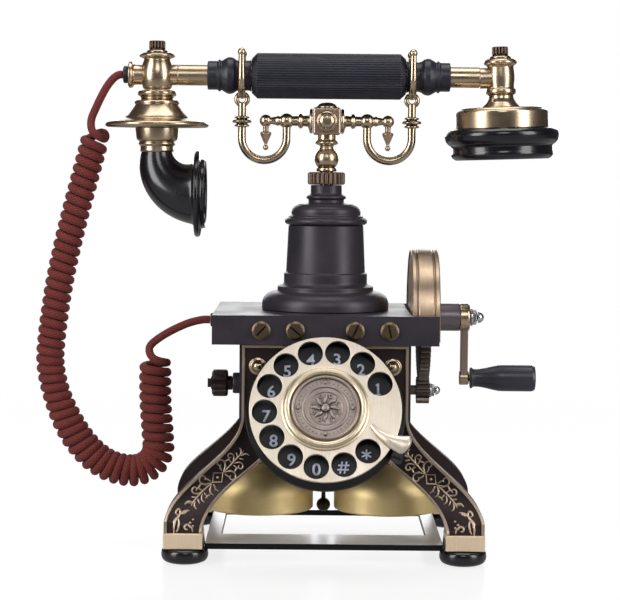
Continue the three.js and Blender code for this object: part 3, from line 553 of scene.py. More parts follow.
def lit_top_sheet(name, top, sides, rough):
    """Black sheet steel whose upper face is painted light grey and brushed, a painted reflection, while its
    edges stay black.
    """
    finish = Finish(name, metallic=0.4)
    marks = finish.brushing(1800, "y")
    # Painted reflection: faces that point up get the light grey top colour, as if lit from above; the rest
    # stays black.
    normal = finish.node("ShaderNodeNewGeometry").outputs["Normal"]
    up = finish.node("ShaderNodeSeparateXYZ", Vector=normal).outputs["Z"]
    painted_lit_top_mask = finish.level(up, 0, 1, start=0.6, end=0.9)
    grained = finish.mix(finish.level(marks, 0, 0.16), top, sides)
    finish.bump(marks, distance=0.004, strength=0.3)
    return finish.look(finish.mix(painted_lit_top_mask, sides, grained), finish.level(marks, rough, rough + 0.1))


def braided(name):
    """Two sets of yarns that cross round the cord, in burgundy with a few lighter fibres."""
    finish = Finish(name, metallic=0.0, Sheen_Weight=0.05, Sheen_Roughness=0.5)
    uv = finish.node("ShaderNodeUVMap").outputs["UV"]
    parts = finish.node("ShaderNodeSeparateXYZ", Vector=uv)
    along, around = parts.outputs["X"], parts.outputs["Y"]
    right, left = [
        finish.maths("SINE", finish.maths("MULTIPLY", finish.maths(way, along, around), TAU))
        for way in ("ADD", "SUBTRACT")
    ]
    weave = finish.maths("MULTIPLY", finish.maths("MAXIMUM", right, left), 0.6)
    fibres = finish.noise(4200, detail=4, roughness=0.75)
    clouds = finish.noise(160, detail=4)
    raised = finish.maths("ADD", weave, finish.maths("MULTIPLY", fibres, 1.9))
    colour = finish.ramp(finish.level(raised, 0, 1, start=0.1, end=2.1), [
        (0.0, tone(46, 14, 12)), (0.45, tone(110, 38, 33)), (1.0, tone(152, 66, 57)),
    ])
    colour = finish.mix(finish.level(clouds, 0, 0.5), colour, tone(94, 32, 29))
    finish.bump(raised, distance=0.16, strength=0.8)
    return finish.look(colour, 0.9)


def stage_finish(name, reach):
    """Glossy white that glows enough to match the white background, fully so by its edge."""
    finish = Finish(name, metallic=0.0)
    finish.look(tone(246, 246, 248), 0.3)
    far = finish.node("ShaderNodeVectorMath", Vector=finish.place)
    far.operation = "LENGTH"
    glow = finish.level(far.outputs["Value"], 0.8, 1.0, start=0.15, end=reach * 0.8)
    seen = finish.node("ShaderNodeLightPath").outputs["Is Camera Ray"]
    strength = finish.level(seen, 0.3, 1.0, start=0.0, end=1.0)
    light = finish.node("ShaderNodeEmission", Color=(1, 1, 1, 1), Strength=strength)
    blended = finish.node("ShaderNodeMixShader", Fac=glow)
    output = next(node for node in finish.tree.nodes if node.type == "OUTPUT_MATERIAL")
    finish.set(blended.inputs[1], finish.shader.outputs["BSDF"])
    finish.set(blended.inputs[2], light.outputs["Emission"])
    finish.set(output.inputs["Surface"], blended.outputs["Shader"])
    return finish.material


BRASS_LIGHT, BRASS_DARK = tone(214, 192, 163), tone(50, 35, 30)
ANTIQUE_X = brass("antique_brass_x", BRASS_LIGHT, BRASS_DARK, "x", 0.27, 1.8)
BAND_BRASS = brass("band_brass", tone(222, 196, 168), tone(70, 52, 44), "x", 0.38, 1.4)
ANTIQUE_Y = brass("antique_brass_y", BRASS_LIGHT, BRASS_DARK, "y", 0.26)
ANTIQUE_Z = brass("antique_brass_z", BRASS_LIGHT, BRASS_DARK, "z", 0.24)
ROSE_X = brass("rose_brass_x", tone(200, 176, 160), tone(62, 44, 42), "x", 0.34)
ROSE_Z = brass("rose_brass_z", tone(206, 180, 158), tone(62, 44, 40), "z", 0.34)
DIAL_BRASS = brass("dial_brass", tone(249, 237, 220), tone(140, 118, 90), "x", 0.44, 1.2)
RING_BRASS = brass("ring_brass", tone(240, 224, 194), tone(76, 58, 42), "x", 0.34, 2.4)
BORDER_BRASS = brass("border_brass", tone(234, 212, 188), tone(96, 76, 64), "y", 0.34, 1.2)
BLOCK_BRASS = brass("block_brass", tone(255, 232, 200), tone(180, 148, 116), "x", 0.5, 1.0, 0.6)
RELIEF_BRASS = brass("relief_brass", tone(222, 200, 176), tone(72, 54, 48), "z", 0.38, 0.6)
BELL_BRASS = brass("bell_brass", tone(240, 216, 158), tone(158, 126, 72), "z", 0.5, 3.0, 0.8)
BADGE_BRONZE = brass("badge_bronze", tone(182, 168, 160), tone(30, 25, 24), "x", 0.4, 2.0)
NUT_BRONZE = brass("nut_bronze", tone(128, 108, 94), tone(46, 34, 30), "z", 0.44, 1.0)
SCREW_BRASS = brass("screw_brass", tone(136, 117, 95), tone(30, 22, 17), "y", 0.32, 3.2)
DARK_METAL = painted("dark_metal", tone(51, 47, 55), tone(69, 63, 71), 0.38)
SLEEVE_METAL = painted("sleeve_metal", tone(110, 102, 108), tone(134, 124, 130), 0.34, 0.01, 0.6)
BROWN_METAL = painted("brown_metal", tone(47, 36, 38), tone(72, 56, 56), 0.32, 0.03, 0.5)
BLACK_ENAMEL = painted("black_enamel", tone(8, 8, 12), tone(14, 14, 20), 0.32, 0.004, 0.0,
                       Specular_IOR_Level=0.3)
BLACK_GLOSS = moulded("black_gloss", tone(9, 9, 16), tone(16, 16, 26), 0.24, 0.5, 0.003)
BLACK_SATIN = moulded("black_satin", tone(24, 24, 36), tone(36, 36, 52), 0.42, 0.08)
GRIP_SATIN = moulded("grip_satin", tone(46, 44, 56), tone(60, 57, 70), 0.38, 0.15)
NUMBER_BLACK = moulded("number_black", tone(8, 9, 15), tone(14, 16, 24), 0.5, 0.0)
CHROME = steel("chrome", tone(232, 232, 235), tone(120, 120, 126), 0.2)
GEAR_STEEL = steel("gear_steel", tone(148, 136, 130), tone(44, 37, 35), 0.38)
DIGIT_WHITE = moulded("digit_white", tone(206, 214, 240), tone(226, 232, 250), 0.5, 0.0)
# The base frame is black; its upper face is painted light grey as a painted reflection of the bright
# surroundings.
FRAME_LIT_TOP = lit_top_sheet("frame_painted_lit_top", tone(226, 226, 230), tone(14, 14, 17), 0.27)
CORD_BRAID = braided("cord_braid")
BOARD_GREEN = moulded("board_green", tone(38, 86, 54), tone(52, 104, 66), 0.5, 0.2)
FLOOR_WHITE = stage_finish("floor_white", FLOOR_REACH)


# ---------------------------------------------------------------- the curly cord
HANDSET_LEAD = [
    (-126, 290), (-128.4, 289.8), (-131.8, 287.4), (-135.8, 282.2), (-139.8, 274.8), (-143.4, 267),
    (-146.2, 260.8), (-147.9, 256.7),
]
COIL = [
    (-142, 254.2), (-144.9, 242.5), (-151, 219.6), (-155, 204.5), (-159.6, 185.7), (-164.2, 164.4),
    (-167.2, 145.8), (-169.6, 127), (-170.4, 112.6), (-168.2, 98.6), (-164.4, 86.5), (-159.4, 75.2),
    (-153.4, 65.1), (-145.6, 55.8), (-136.6, 49), (-127, 45.4), (-116.8, 44.8), (-108, 48.8),
    (-103.4, 56.8), (-103.6, 68), (-105.1, 90.5), (-105.2, 115.3),
]
BASE_LEAD = [
    (-71.4, 139.3), (-76, 139.2), (-83.3, 137.5), (-90, 134.8), (-96.9, 131.3), (-103.4, 127.2),
    (-109, 122.5), (-113.1, 117.6),
]


def spread(line, marks, count):
    """Points of a line at even steps of a mark that grows from each of its corners to the next."""
    made, at = [], 0
    for i in range(count + 1):
        reach = marks[-1] * i / count
        while at < len(line) - 2 and marks[at + 1] < reach:
            at += 1
        share = (reach - marks[at]) / max(marks[at + 1] - marks[at], 1e-9)
        made.append(line[at].lerp(line[at + 1], share))
    return made


def evenly(line, spacing):
    """Points at even distances along a line."""
    gaps = [0.0]
    for a, b in zip(line, line[1:]):
        gaps.append(gaps[-1] + (b - a).length)
    return spread(line, gaps, max(2, round(gaps[-1] / spacing)))


def in_plane(route):
    """Points of the upright plane through the column, given by X and Z."""
    return [Vector((x, 0, z)) for x, z in route]


def crowding_marks(line, gap):
    """A mark for each point of an even line, which grows faster round the line's bends."""
    reach = 12
    last = len(line) - 1
    marks = [0.0]
    for i in range(last):
        before = line[i] - line[max(i - reach, 0)]
        after = line[min(i + reach, last)] - line[i]
        bend = before.angle(after, 0.0) / (reach * gap)
        marks.append(marks[-1] + gap * (1 + BEND_CROWDING * COIL_RADIUS * bend))
    return marks


def ring_size(share):
    """The radius of the rings, which are slack up to the middle of the coil and neat beyond it."""
    slack = max(0.0, min(1.0, (0.52 - share) / 0.12))
    return COIL_RADIUS + RING_SLACK * slack * slack * (3 - 2 * slack)


def end_rise(i, count, angle):
    """How far a point of the helix is drawn along the coil, towards the lead at either end."""
    pull, lift, lift_turn = 3, 5, 0.5
    from_base = max(0.0, 1 - i / (0.5 * RING_STEPS))
    from_handset = max(0.0, 1 - (count - i) / (0.35 * RING_STEPS))
    in_last_ring = count - i < RING_STEPS
    lifted = lift * max(0.0, math.cos(angle - lift_turn)) ** 2 if in_last_ring else 0.0
    return pull * from_handset ** 2 - pull * from_base ** 2 + lifted


def coil_line():
    """The helix from the base end of the coil to its handset end."""
    gap = 0.25
    core = evenly(catmull(in_plane(COIL[::-1]), 24), gap)
    marks = crowding_marks(core, gap)
    rings = round(marks[-1] / COIL_PITCH) + 0.5
    count = round(rings * RING_STEPS)
    core = spread(core, marks, count)
    line = []
    for i, point in enumerate(core):
        ahead = (core[min(i + 1, count)] - core[max(i - 1, 0)]).normalized()
        outward = Vector((ahead.z, 0, -ahead.x))
        angle = math.pi / 2 + TAU * i / RING_STEPS
        round_it = math.sin(angle) * outward + math.cos(angle) * Vector((0, 1, 0))
        line.append(point + ahead * end_rise(i, count, angle) + ring_size(i / count) * round_it)
    return line


def ease(line, join, reach=9, times=40):
    """Smooths a line near a point where two stretches of it were joined."""
    for _ in range(times):
        for i in range(join - reach, join + reach):
            share = (1 - abs(i - join) / reach) ** 2
            line[i] = line[i].lerp((line[i - 1] + line[i + 1]) / 2, 0.5 * share)


def cord_line():
    """Lead, coil and lead as one line, which leaves out a few points at each join."""
    base, lead = [evenly(catmull(in_plane(route), 12), 1.2) for route in (BASE_LEAD, HANDSET_LEAD[::-1])]
    coil = coil_line()
    cut = 2
    line = base[:-cut] + coil[cut:-cut] + lead[cut:]
    ease(line, len(base) - cut)
    ease(line, len(base) + len(coil) - 3 * cut)
    return evenly(line, CORD_STEP)


def cord_radius(share):
    """The leads are drawn a little thinner than the coiled stretch, and the cord swells between them."""
    from_base, from_handset = share * 22, (1 - share) * 26
    swelling = max(0.0, min(from_base, from_handset, 1.0) - 0.5)
    return CORD_RADIUS - 0.15 + 0.8 * swelling


def make_cord():
    line = cord_line()
    shape = swept(Shape(), line, cord_radius, sides=CORD_SIDES)
    cord = piece("curly_cord", shape, CORD_BRAID, "base",
                 ("cord_handset_lead", "cord_coil", "cord_base_lead"), smooth_angle=80)
    wrap_braid(cord.data, line)
    cord.parent = None
    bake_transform(cord)


def wrap_braid(mesh, line):
    """UVs in yarn counts: U along the cord and V round it."""
    yarns_round, yarn_length = 8, 2.1
    reach = [0.0]
    for a, b in zip(line, line[1:]):
        reach.append(reach[-1] + (b - a).length / yarn_length)
    layer = mesh.uv_layers.new(name="UVMap")
    for face in mesh.polygons:
        corners = [mesh.loops[i].vertex_index for i in face.loop_indices]
        turns = [corner % CORD_SIDES for corner in corners]
        wraps = max(turns) - min(turns) > CORD_SIDES / 2
        for i, corner, turn in zip(face.loop_indices, corners, turns):
            around = turn + CORD_SIDES if wraps and turn == 0 else turn
            layer.data[i].uv = (reach[corner // CORD_SIDES], yarns_round * around / CORD_SIDES)


make_cord()


# ---------------------------------------------------------------- feet, base frame and box
def upright_at(node):
    """On the table, under the middle of a CAD node."""
    centre = TO_OWN @ middle(node)
    return Matrix.Translation((centre.x, centre.y, 0))


def make_feet():
    profile = [(0, 0), (9.5, 0), (12.8, 1.4), (13.9, 3.6), (14, 5.4), (13.7, 7.6), (12.4, 8.9), (0, 8.9)]
    for across in ("left", "right"):
        for end in ("front", "rear"):
            node = f"foot_{end}_{across}"
            turned_piece(f"pad_{end}_{across}", profile, upright_at(node), BLACK_GLOSS, "base", "black_gloss",
                         (node,), reach=1.2)


def dress(node, material, bevel):
    """A CAD piece whose shape is right gets its finish and softened edges."""
    made = frame["nodes"][node]
    made.data.materials.clear()
    made.data.materials.append(material)
    finish_edges(made, bevel)


def dress_cad_pieces():
    for node, material, bevel in (
        ("body_housing", DARK_METAL, 0.4),
        ("chassis_plate", DARK_METAL, 0.3),
        ("top_plate", DARK_METAL, 0.45),
        ("circuit_board", BOARD_GREEN, 0.1),
        ("line_jack", BLACK_SATIN, 0.25),
        ("hook_switch", BLACK_SATIN, 0.3),
        ("ringer_magnet", GEAR_STEEL, 0.2),
        ("drive_gear", GEAR_STEEL, 0.12),
        ("pinion", GEAR_STEEL, 0.12),
        ("crank_shaft", GEAR_STEEL, 0.2),
        ("microphone_capsule", DARK_METAL, 0.3),
        ("receiver_capsule", DARK_METAL, 0.3),
    ):
        dress(node, material, bevel)


def make_base_frame():
    """The flat frame between the feet, with one wide opening."""
    low, high = [TO_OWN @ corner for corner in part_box("base_frame")]
    half, wide = 70.8, 62.2
    outline = [(-half, low.y), (half, low.y), (half, high.y), (-half, high.y)]
    near, far = low.y + 31, high.y - 10
    opening = [(-wide, near), (wide, near), (wide, far), (-wide, far)]
    shape = plate(Shape(), outline, low.z, high.z, holes=[opening])
    piece("base_tray", shape, FRAME_LIT_TOP, "base", ("base_frame",), bevel=0.4)


# ---------------------------------------------------------------- leg brackets
def leg_front(share):
    """The Y of a leg's front, at a share of the way down to its foot."""
    return BRACKET["front"] - LEG["splay"] * share ** 1.6


def leg_back(share):
    """The Y of a leg's back, at a share of the way down to its foot."""
    return leg_front(share) + (BRACKET["back"] - BRACKET["front"]) + LEG["depth"] * share ** 2


def leg_edges(bottom):
    """The right leg's outer and inner edges, from its top down to a height."""
    outer = bezier(*LEG_OUTER, LEG_STEPS) + [Vector((LEG["outside"], bottom))]
    inner = bezier(*LEG_INNER, LEG_STEPS) + [Vector((LEG["inside"], bottom))]
    return outer, inner


def leg_body(shape, mirror):
    """The leg's dark body, its front sunk below the borders."""
    rings = []
    for i, (a, b) in enumerate(zip(*leg_edges(LEG["bottom"]))):
        share = min(1, i / LEG_STEPS)
        ring = []
        for t in (0, 0.07, 0.2, 0.35, 0.5, 0.65, 0.8, 0.93, 1):
            spot = a.lerp(b, t)
            ring.append((spot.x, leg_front(share) + RECESS + FIELD_HOLLOW * math.sin(math.pi * t), spot.y))
        ring += [(spot.x, leg_back(share), spot.y) for spot in (b, a)]
        rings.append(ring)
    lofted(shape, rings, mirror)


def bracket_panel(shape):
    """The upright panel between the legs, arched below."""
    half, top, shoulder = BRACKET["half_width"], BRACKET["top"], 84
    right = [(half, top), (half, shoulder)] + [(p.x, p.y) for p in bezier(*ARCH, ARCH_STEPS)]
    outline = right + [(-x, y) for x, y in reversed(right[:-1])]
    plate(shape, outline, -BRACKET["back"], -BRACKET["front"] - RECESS, TO_FRONT)


def border_strip(shape, path):
    """A raised band along an edge. Each path point is (x, front y, z), with the field on its left."""
    proud, chamfer, height = 0.15, 0.35, RECESS + 0.5
    section = (
        (0, height), (0, chamfer), (chamfer, 0),
        (BORDER - chamfer, 0), (BORDER, chamfer), (BORDER, height),
    )
    rings = []
    for i, (x, y, z) in enumerate(path):
        ways = []
        for a, b in ((i - 1, i), (i, i + 1)):
            if 0 <= a and b < len(path):
                way = Vector((path[b][0] - path[a][0], path[b][2] - path[a][2]))
                if way.length > 1e-6:
                    ways.append(Vector((-way.y, way.x)).normalized())
        normal = sum(ways, Vector((0, 0))).normalized()
        mitre = normal / max(0.5, normal.dot(ways[0]))
        front = y - proud
        rings.append([(x + a * mitre.x, front + depth, z + a * mitre.y) for a, depth in section])
    lofted(shape, rings)


def outer_border():
    """Up the right leg's outside, across the top of the panel and down the left leg's outside."""
    half, top = BRACKET["half_width"], BRACKET["top"] - 0.3
    leg = bezier(*LEG_OUTER, LEG_STEPS)
    right = [(LEG["outside"], leg_front(1), LEG["block_top"] - 1)]
    right += [(p.x, leg_front(1 - i / LEG_STEPS), p.y) for i, p in enumerate(reversed(leg))]
    right.append((half, BRACKET["front"], top))
    return right + [(-x, y, z) for x, y, z in reversed(right)]


def inner_border():
    """Up the left leg's inside, along the arch and down the right leg's inside."""
    leg = bezier(*LEG_INNER, LEG_STEPS)
    left = [(-LEG["inside"], leg_front(1), LEG["block_top"] - 1)]
    left += [(-p.x, leg_front(1 - i / LEG_STEPS), p.y) for i, p in enumerate(reversed(leg))]
    left += [(-p.x, BRACKET["front"], p.y) for p in bezier(*ARCH, ARCH_STEPS)[2:]]
    return left + [(-x, y, z) for x, y, z in reversed(left[:-1])]


def foot_block(shape, mirror):
    """The plain brass block at the foot of a leg."""
    front = leg_front(1) - 0.5
    low = (LEG["inside"] + 0.6, front, LEG["bottom"])
    high = (LEG["outside"] + 0.4, leg_back(1) + 0.3, LEG["block_top"])
    box(shape, low, high, mirror)


def leg_line():
    """The right leg's middle line, from its top down to the foot block."""
    return [(a + b) / 2 for a, b in zip(*leg_edges(LEG["block_top"]))]


def leg_length():
    """How long the leg's middle line is."""
    line = leg_line()
    return sum((b - a).length for a, b in zip(line, line[1:]))


def leg_middle(along):
    """A point of the right leg's middle line, some millimetres from its top, with the line's way there
    and the share of the leg above it."""
    line = leg_line()
    for i, (a, b) in enumerate(zip(line, line[1:])):
        gap = (b - a).length
        if along <= gap or i == len(line) - 2:
            share = min(1.0, along / gap)
            return a.lerp(b, share), (b - a).normalized(), min(1.0, (i + share) / LEG_STEPS)
        along -= gap


def on_leg(along, across, lift):
    """A point on the right leg's sunk field: across is towards the leg's outside."""
    point, ahead, share = leg_middle(along)
    outward = Vector((-ahead.y, ahead.x))
    flat = point + outward * across
    leg_width = 24
    hollow = FIELD_HOLLOW * math.sin(math.pi * max(0.0, min(1.0, 0.5 + across / leg_width)))
    return Vector((flat.x, leg_front(share) + RECESS + hollow - lift, flat.y))


def scroll(along, across, heading, length, first_curl, last_curl):
    """A stroke on the leg whose bend grows steadily: curls are in degrees a millimetre."""
    steps = 22
    path = [(along, across)]
    angle = math.radians(heading)
    for i in range(steps):
        curl = first_curl + (last_curl - first_curl) * i / steps
        angle += math.radians(curl) * length / steps
        along += math.cos(angle) * length / steps
        across += math.sin(angle) * length / steps
        path.append((along, across))
    return path


def vine_strokes():
    """Two mirrored sprays of stems, scrolls and leaves that grow from a diamond."""
    strokes = [[(-4, 0), (0, 3.6), (4, 0), (0, -3.6), (-4, 0)]]
    branches = [
        scroll(5, 0.4, 26, 15, 1, 44), scroll(4.4, 1.2, 82, 3.8, -3, -14), scroll(7.6, 1.2, 66, 3.6, 0, -16),
        scroll(12.4, 0.5, 24, 12, 1, 58), scroll(11.4, 0.9, 70, 3.2, 4, 24), scroll(16.4, 0.6, 50, 3, 0, 20),
        scroll(18.4, 0.3, 16, 5.4, 3, 34), scroll(9.6, 4.4, -30, 3.4, 6, 20),
    ]
    for way in (1, -1):
        strokes.append([(way * a, b) for a, b in scroll(3.8, 0, 2, 18, 0.5, -1.5)])
        for side in (1, -1):
            strokes += [[(way * a, side * b) for a, b in path] for path in branches]
    return [[(VINE_MIDDLE + a, b) for a, b in stroke] for stroke in strokes]


def foot_strokes():
    """The scrolls that stand on the foot block."""
    foot = leg_length() - 0.3
    scrolls = [
        scroll(0, -6.6, 178, 16, -1, -8), scroll(0, 6.4, 182, 13, 2, 44), scroll(-1, -5, 125, 13, 6, 46),
        scroll(-7, -4.8, 150, 10, 8, 62), scroll(-14.5, -4.4, 172, 5, -8, -34),
        scroll(-9.5, -3.4, 120, 4.4, 2, 26),
    ]
    return [[(foot + a, -0.85 * b) for a, b in path] for path in scrolls]


def tapered(width):
    """A stroke's radius, which shrinks towards both its ends."""
    return lambda share: width * (0.4 + 0.6 * math.sin(math.pi * share) ** 0.5)


def relief(shape, mirror):
    """The vine, the scrolls on the foot block and a few dots."""
    for strokes, width, lift in ((vine_strokes(), 0.55, 0.15), (foot_strokes(), 0.72, 0.2)):
        for stroke in strokes:
            path = [on_leg(along, across, lift) for along, across in stroke]
            swept(shape, path, tapered(width), mirror, sides=8)
    foot = leg_length()
    dots = (
        (VINE_MIDDLE, 0, 0.9), (foot - 7, -3.8, 0.8), (foot - 9.5, -4.8, 0.8), (foot - 5.5, -5.8, 0.8),
    )
    for along, across, size in dots:
        spot = Matrix.Translation(on_leg(along, across, 0.1)) @ TO_FRONT
        bead(shape, size, mirror @ spot, 14)


def make_bracket(end, place):
    mirrored = Matrix.Scale(-1, 4, Vector((1, 0, 0)))
    body = Shape()
    bracket_panel(body)
    borders = Shape()
    border_strip(borders, outer_border())
    border_strip(borders, inner_border())
    blocks = Shape()
    ornament = Shape()
    for side in (Matrix(), mirrored):
        leg_body(body, side)
        foot_block(blocks, side)
        relief(ornament, side)
    for shape in (body, borders, blocks, ornament):
        shape.points = [place @ point for point in shape.points]
    piece(f"bracket_{end}", body, BROWN_METAL, "base", (f"{end}_frame",), bevel=0.3)
    piece(f"bracket_border_{end}", borders, BORDER_BRASS, "base")
    piece(f"bracket_foot_{end}", blocks, BLOCK_BRASS, "base", bevel=0.6)
    piece(f"bracket_relief_{end}", ornament, RELIEF_BRASS, "base", smooth_angle=60)


def make_brackets():
    make_bracket("front", Matrix())
    make_bracket("rear", HALF_TURN)


# ---------------------------------------------------------------- screws
def slotted_screw(shape, x, angle):
    """A screw with a washer, in the top plate's front edge. Two raised halves leave its slot open."""
    front = (TO_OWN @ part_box("top_plate")[0]).y
    at = Matrix.Translation((x, front, 137.6)) @ TO_FRONT @ Matrix.Rotation(math.radians(angle), 4, "Z")
    turned(shape, [(0, -0.5), (5.7, -0.5), (5.7, 0.9), (4.5, 1.3), (4.4, 1.8), (0, 1.8)], at, sides=48)
    for first in (8, -8):
        half = arc((0, 0), 4.15, first, math.copysign(172, first), 20)
        plate(shape, half, 1.7, 3.0, at)


def make_screws():
    plate_screws = Shape()
    for x, angle in ((-38.2, 45), (-18, -40), (17.5, 65), (38, -78)):
        slotted_screw(plate_screws, x, angle)
    piece("plate_screws", plate_screws, SCREW_BRASS, "base", bevel=0.3)
    panel_screws = Shape()
    for x in (-40.3, 40.3):
        at = Matrix.Translation((x, BRACKET["front"] + RECESS, 115.6)) @ TO_FRONT
        turned(panel_screws, [
            (0, -0.5), (5.4, -0.5), (5.3, 0.9), (3.7, 1.2), (3.2, 2.6), (1.8, 4.1), (0, 4.6),
        ], at, sides=48, reach=0.8)
    piece("panel_screws", panel_screws, ANTIQUE_Y, "base")


# ---------------------------------------------------------------- column and bells
def make_column():
    turned_piece("column_body", [
        (19, 146.8), (39.2, 146.8), *arc((31.2, 149.6), 8, 0, 78, 12), (29.9, 157.8), (29.6, 158.4),
        (29.6, 160.8), (26.5, 161.7), (25.7, 163.2), (25.7, 168.8), (24.4, 169.6), (23.1, 198.6),
        (19, 198.6), (19, 146.8),
    ], Matrix(), DARK_METAL, "base", "dark_metal", ("column",), sides=128)
    turned_piece("column_top", [
        (5.2, 198.9), (23.2, 198.9), *arc((23.4, 201), 2.1, -75, 75, 8), (23.1, 203.4), (23.1, 204),
        (21.6, 204.5), *arc((16.8, 206.4), 4.6, -15, 82, 8), (17.2, 211.4), (12.4, 211.8), (11, 212.4),
        (10.9, 214.2), *arc((11.2, 215.7), 1.1, -70, 70, 6), (10.2, 217.4), (9.6, 218.4), (9.6, 223.2),
        (5.2, 223.2), (5.2, 198.9),
    ], Matrix(), DARK_METAL, "base", "dark_metal", ("column_cap",))
    turned_piece("knurled_collar", [
        (5.2, 223.5), (10.6, 223.5), (11.5, 224.2), (11.5, 230.4), (10.4, 231.2), (5.2, 231.2), (5.2, 223.5),
    ], Matrix(), NUT_BRONZE, "base", "bronze", ("knurled_nut",), smooth_angle=50,
        sides=24 * 10, flutes=(24, 1.0, 223.9, 230.9), reach=0.25)


def bell_profile():
    """A domed shell, open below, with a hole for its post in the crown."""
    radius, rim, top, wall = BELL["radius"], BELL["rim"], BELL["top"], BELL["wall"]
    crown, dome, hole = 9, 18, 3.4
    outside = [(hole, top), (crown, top)]
    for angle in between(6, 90, 16)[1:]:
        turn = math.radians(angle)
        outside.append((crown + (radius - crown) * math.sin(turn), top - dome + dome * math.cos(turn)))
    outside.append((radius, rim + 0.8))
    inside = [
        (r - wall * min(1, r / radius + 0.1), z - (0 if z < top - 16 else wall)) for r, z in outside[:0:-1]
    ]
    lip = [(radius - 0.5, rim), (radius - wall + 0.3, rim)]
    return [*outside, *lip, *inside, (hole, top - wall), (hole, top)]


def make_bells():
    top = BELL["top"]
    for side in ("left", "right"):
        at = upright_at(f"bell_{side}")
        shape = turned(Shape(), bell_profile(), at, sides=128, reach=0.3)
        turned(shape, [
            (0, top + 0.2), (6.6, top + 0.2), (6.6, top + 1.4), (4.8, top + 2.2), (4.8, 61.5), (0, 61.5),
        ], at, sides=48)
        piece(f"gong_{side}", shape, BELL_BRASS, "base", (f"bell_{side}",))


def make_hammer():
    at = Matrix.Translation((0, 0, joint_place("hammer_swing").z))
    shape = turned(Shape(), [
        *arc((0, -41.7), 4.3, -90, 70, 20), (1.4, -37.2), (1.3, -36), (1.3, 2), (0, 2),
    ], at, sides=48)
    turned(shape, [(0, -8.5), (1.2, -8.5), (1.2, 8.5), (0, 8.5)], at @ TO_FRONT, sides=24)
    piece("hammer", shape, BROWN_METAL, "hammer", ("bell_hammer",))


# ---------------------------------------------------------------- dial
def make_dial():
    holes = [circle(FINGER_HOLE_RADIUS, 48, polar(FINGER_HOLE_CIRCLE, angle)) for angle in FINGER_HOLES]
    wheel = plate(Shape(), circle(44.3, 192), -1.8, 0, AT_DIAL, holes=[*holes, circle(8.4, 48)])
    piece("dial_wheel", wheel, DIAL_BRASS, "dial", ("finger_wheel",), bevel=0.35)
    turned_piece("dial_ring", [
        (0, -22), (3, -22), (3, -4), (8, -4), (8, 0.3), (25.6, 0.3), (25.6, 0.9), (24.9, 1.3), (24.5, 1.3),
        *arc((22.4, 1.3), 2.1, 0, 180, 14), (19.9, 0.9), (0, 0.9),
    ], AT_DIAL, RING_BRASS, "dial", "antique_brass", ("dial_hub",), sides=128, reach=0.25)
    make_badge()
    turned_piece("dial_numbers_plate", [(8.4, -9.3), (42.4, -9.3), (42.4, -8), (8.4, -8), (8.4, -9.3)],
                 AT_DIAL, NUMBER_BLACK, "base", "black_satin", ("number_plate",), sides=128)
    make_cup()
    make_digits()
    make_finger_stop()


def make_cup():
    """The black cup behind the wheel and its neck, cut off flush with the upright panel."""
    made = turned_piece("dial_bowl", [
        (3.4, -60), (16, -60), (16, -18.4), (34, -18.4), (40.6, -17.6), (44.8, -15), (46.6, -11.6),
        (46.4, -9), (45.4, -7), (44, -3.6), (43.2, -3), (42.6, -3.6), (42.6, -10), (34, -15.8),
        (3.4, -15.8), (3.4, -60),
    ], AT_DIAL, BLACK_ENAMEL, "base", "black_enamel", ("dial_cup",), sides=128, reach=0.9)
    mesh = bmesh.new()
    mesh.from_mesh(made.data)
    cut = TO_ROW @ Vector((0, BRACKET["front"] + RECESS - 0.1, 0))
    bmesh.ops.bisect_plane(mesh, geom=mesh.verts[:] + mesh.edges[:] + mesh.faces[:], plane_co=cut,
                           plane_no=(0, 1, 0), clear_outer=True)
    mesh.to_mesh(made.data)
    mesh.free()
    made.data.set_sharp_from_angle(angle=math.radians(SMOOTH_ANGLE))


def character(text):
    """The corners and faces of one character, flat, about its own middle."""
    size = 10.2
    curve = bpy.data.curves.new("digit", "FONT")
    curve.body = text
    curve.size = size
    curve.offset = 0.018 * size
    curve.resolution_u = 6
    drawn = bpy.data.objects.new("digit", curve)
    bpy.context.scene.collection.objects.link(drawn)
    mesh = drawn.evaluated_get(bpy.context.evaluated_depsgraph_get()).to_mesh()
    points = [vert.co.copy() for vert in mesh.vertices]
    faces = [list(face.vertices) for face in mesh.polygons]
    bpy.data.objects.remove(drawn)
    low = Vector((min(p.x for p in points), min(p.y for p in points), 0))
    high = Vector((max(p.x for p in points), max(p.y for p in points), 0))
    return [p - (low + high) / 2 for p in points], faces


INK = 0.04  # the thickness of bars that stand in for strokes
SIGN_BARS = {  # each bar's middle, its length and its turn in degrees
    "#": ((-1.25, 0, 7.2, 80), (1.25, 0, 7.2, 80), (0.2, 1.3, 6.4, 0), (-0.2, -1.3, 6.4, 0)),
    "*": ((0, 0, 6, 30), (0, 0, 6, 90), (0, 0, 6, 150)),
}


def draw_sign(shape, bars, at):
    """A character made of straight bars."""
    half = 0.45
    for x, y, length, turn in bars:
        spot = at @ Matrix.Translation((x, y, 0)) @ Matrix.Rotation(math.radians(turn), 4, "Z")
        box(shape, (-length / 2, -half, 0), (length / 2, half, INK), spot)


def make_digits():
    """The number plate's characters, under the finger holes. The 1 gets a foot and a longer flag."""
    shape = Shape()
    for text, angle in zip("1234567890#*", FINGER_HOLES):
        x, y = polar(DIGIT_CIRCLE, angle)
        at = AT_DIAL @ Matrix.Translation((x, y - 0.3, -7.84))
        if text in SIGN_BARS:
            draw_sign(shape, SIGN_BARS[text], at)
            continue
        points, faces = character(text)
        shape.add(points, faces, at)
        if text == "1":
            box(shape, (-1.5, -3.6, 0), (1.5, -2.9, INK), at)
            box(shape, (-1.3, 2.2, 0), (0.2, 3, INK), at)
    made = piece("dial_digits", shape, DIGIT_WHITE, "base")
    made.modifiers.clear()
    thick = made.modifiers.new("thickness", "SOLIDIFY")
    thick.thickness = 0.12 * MM
    thick.offset = 0


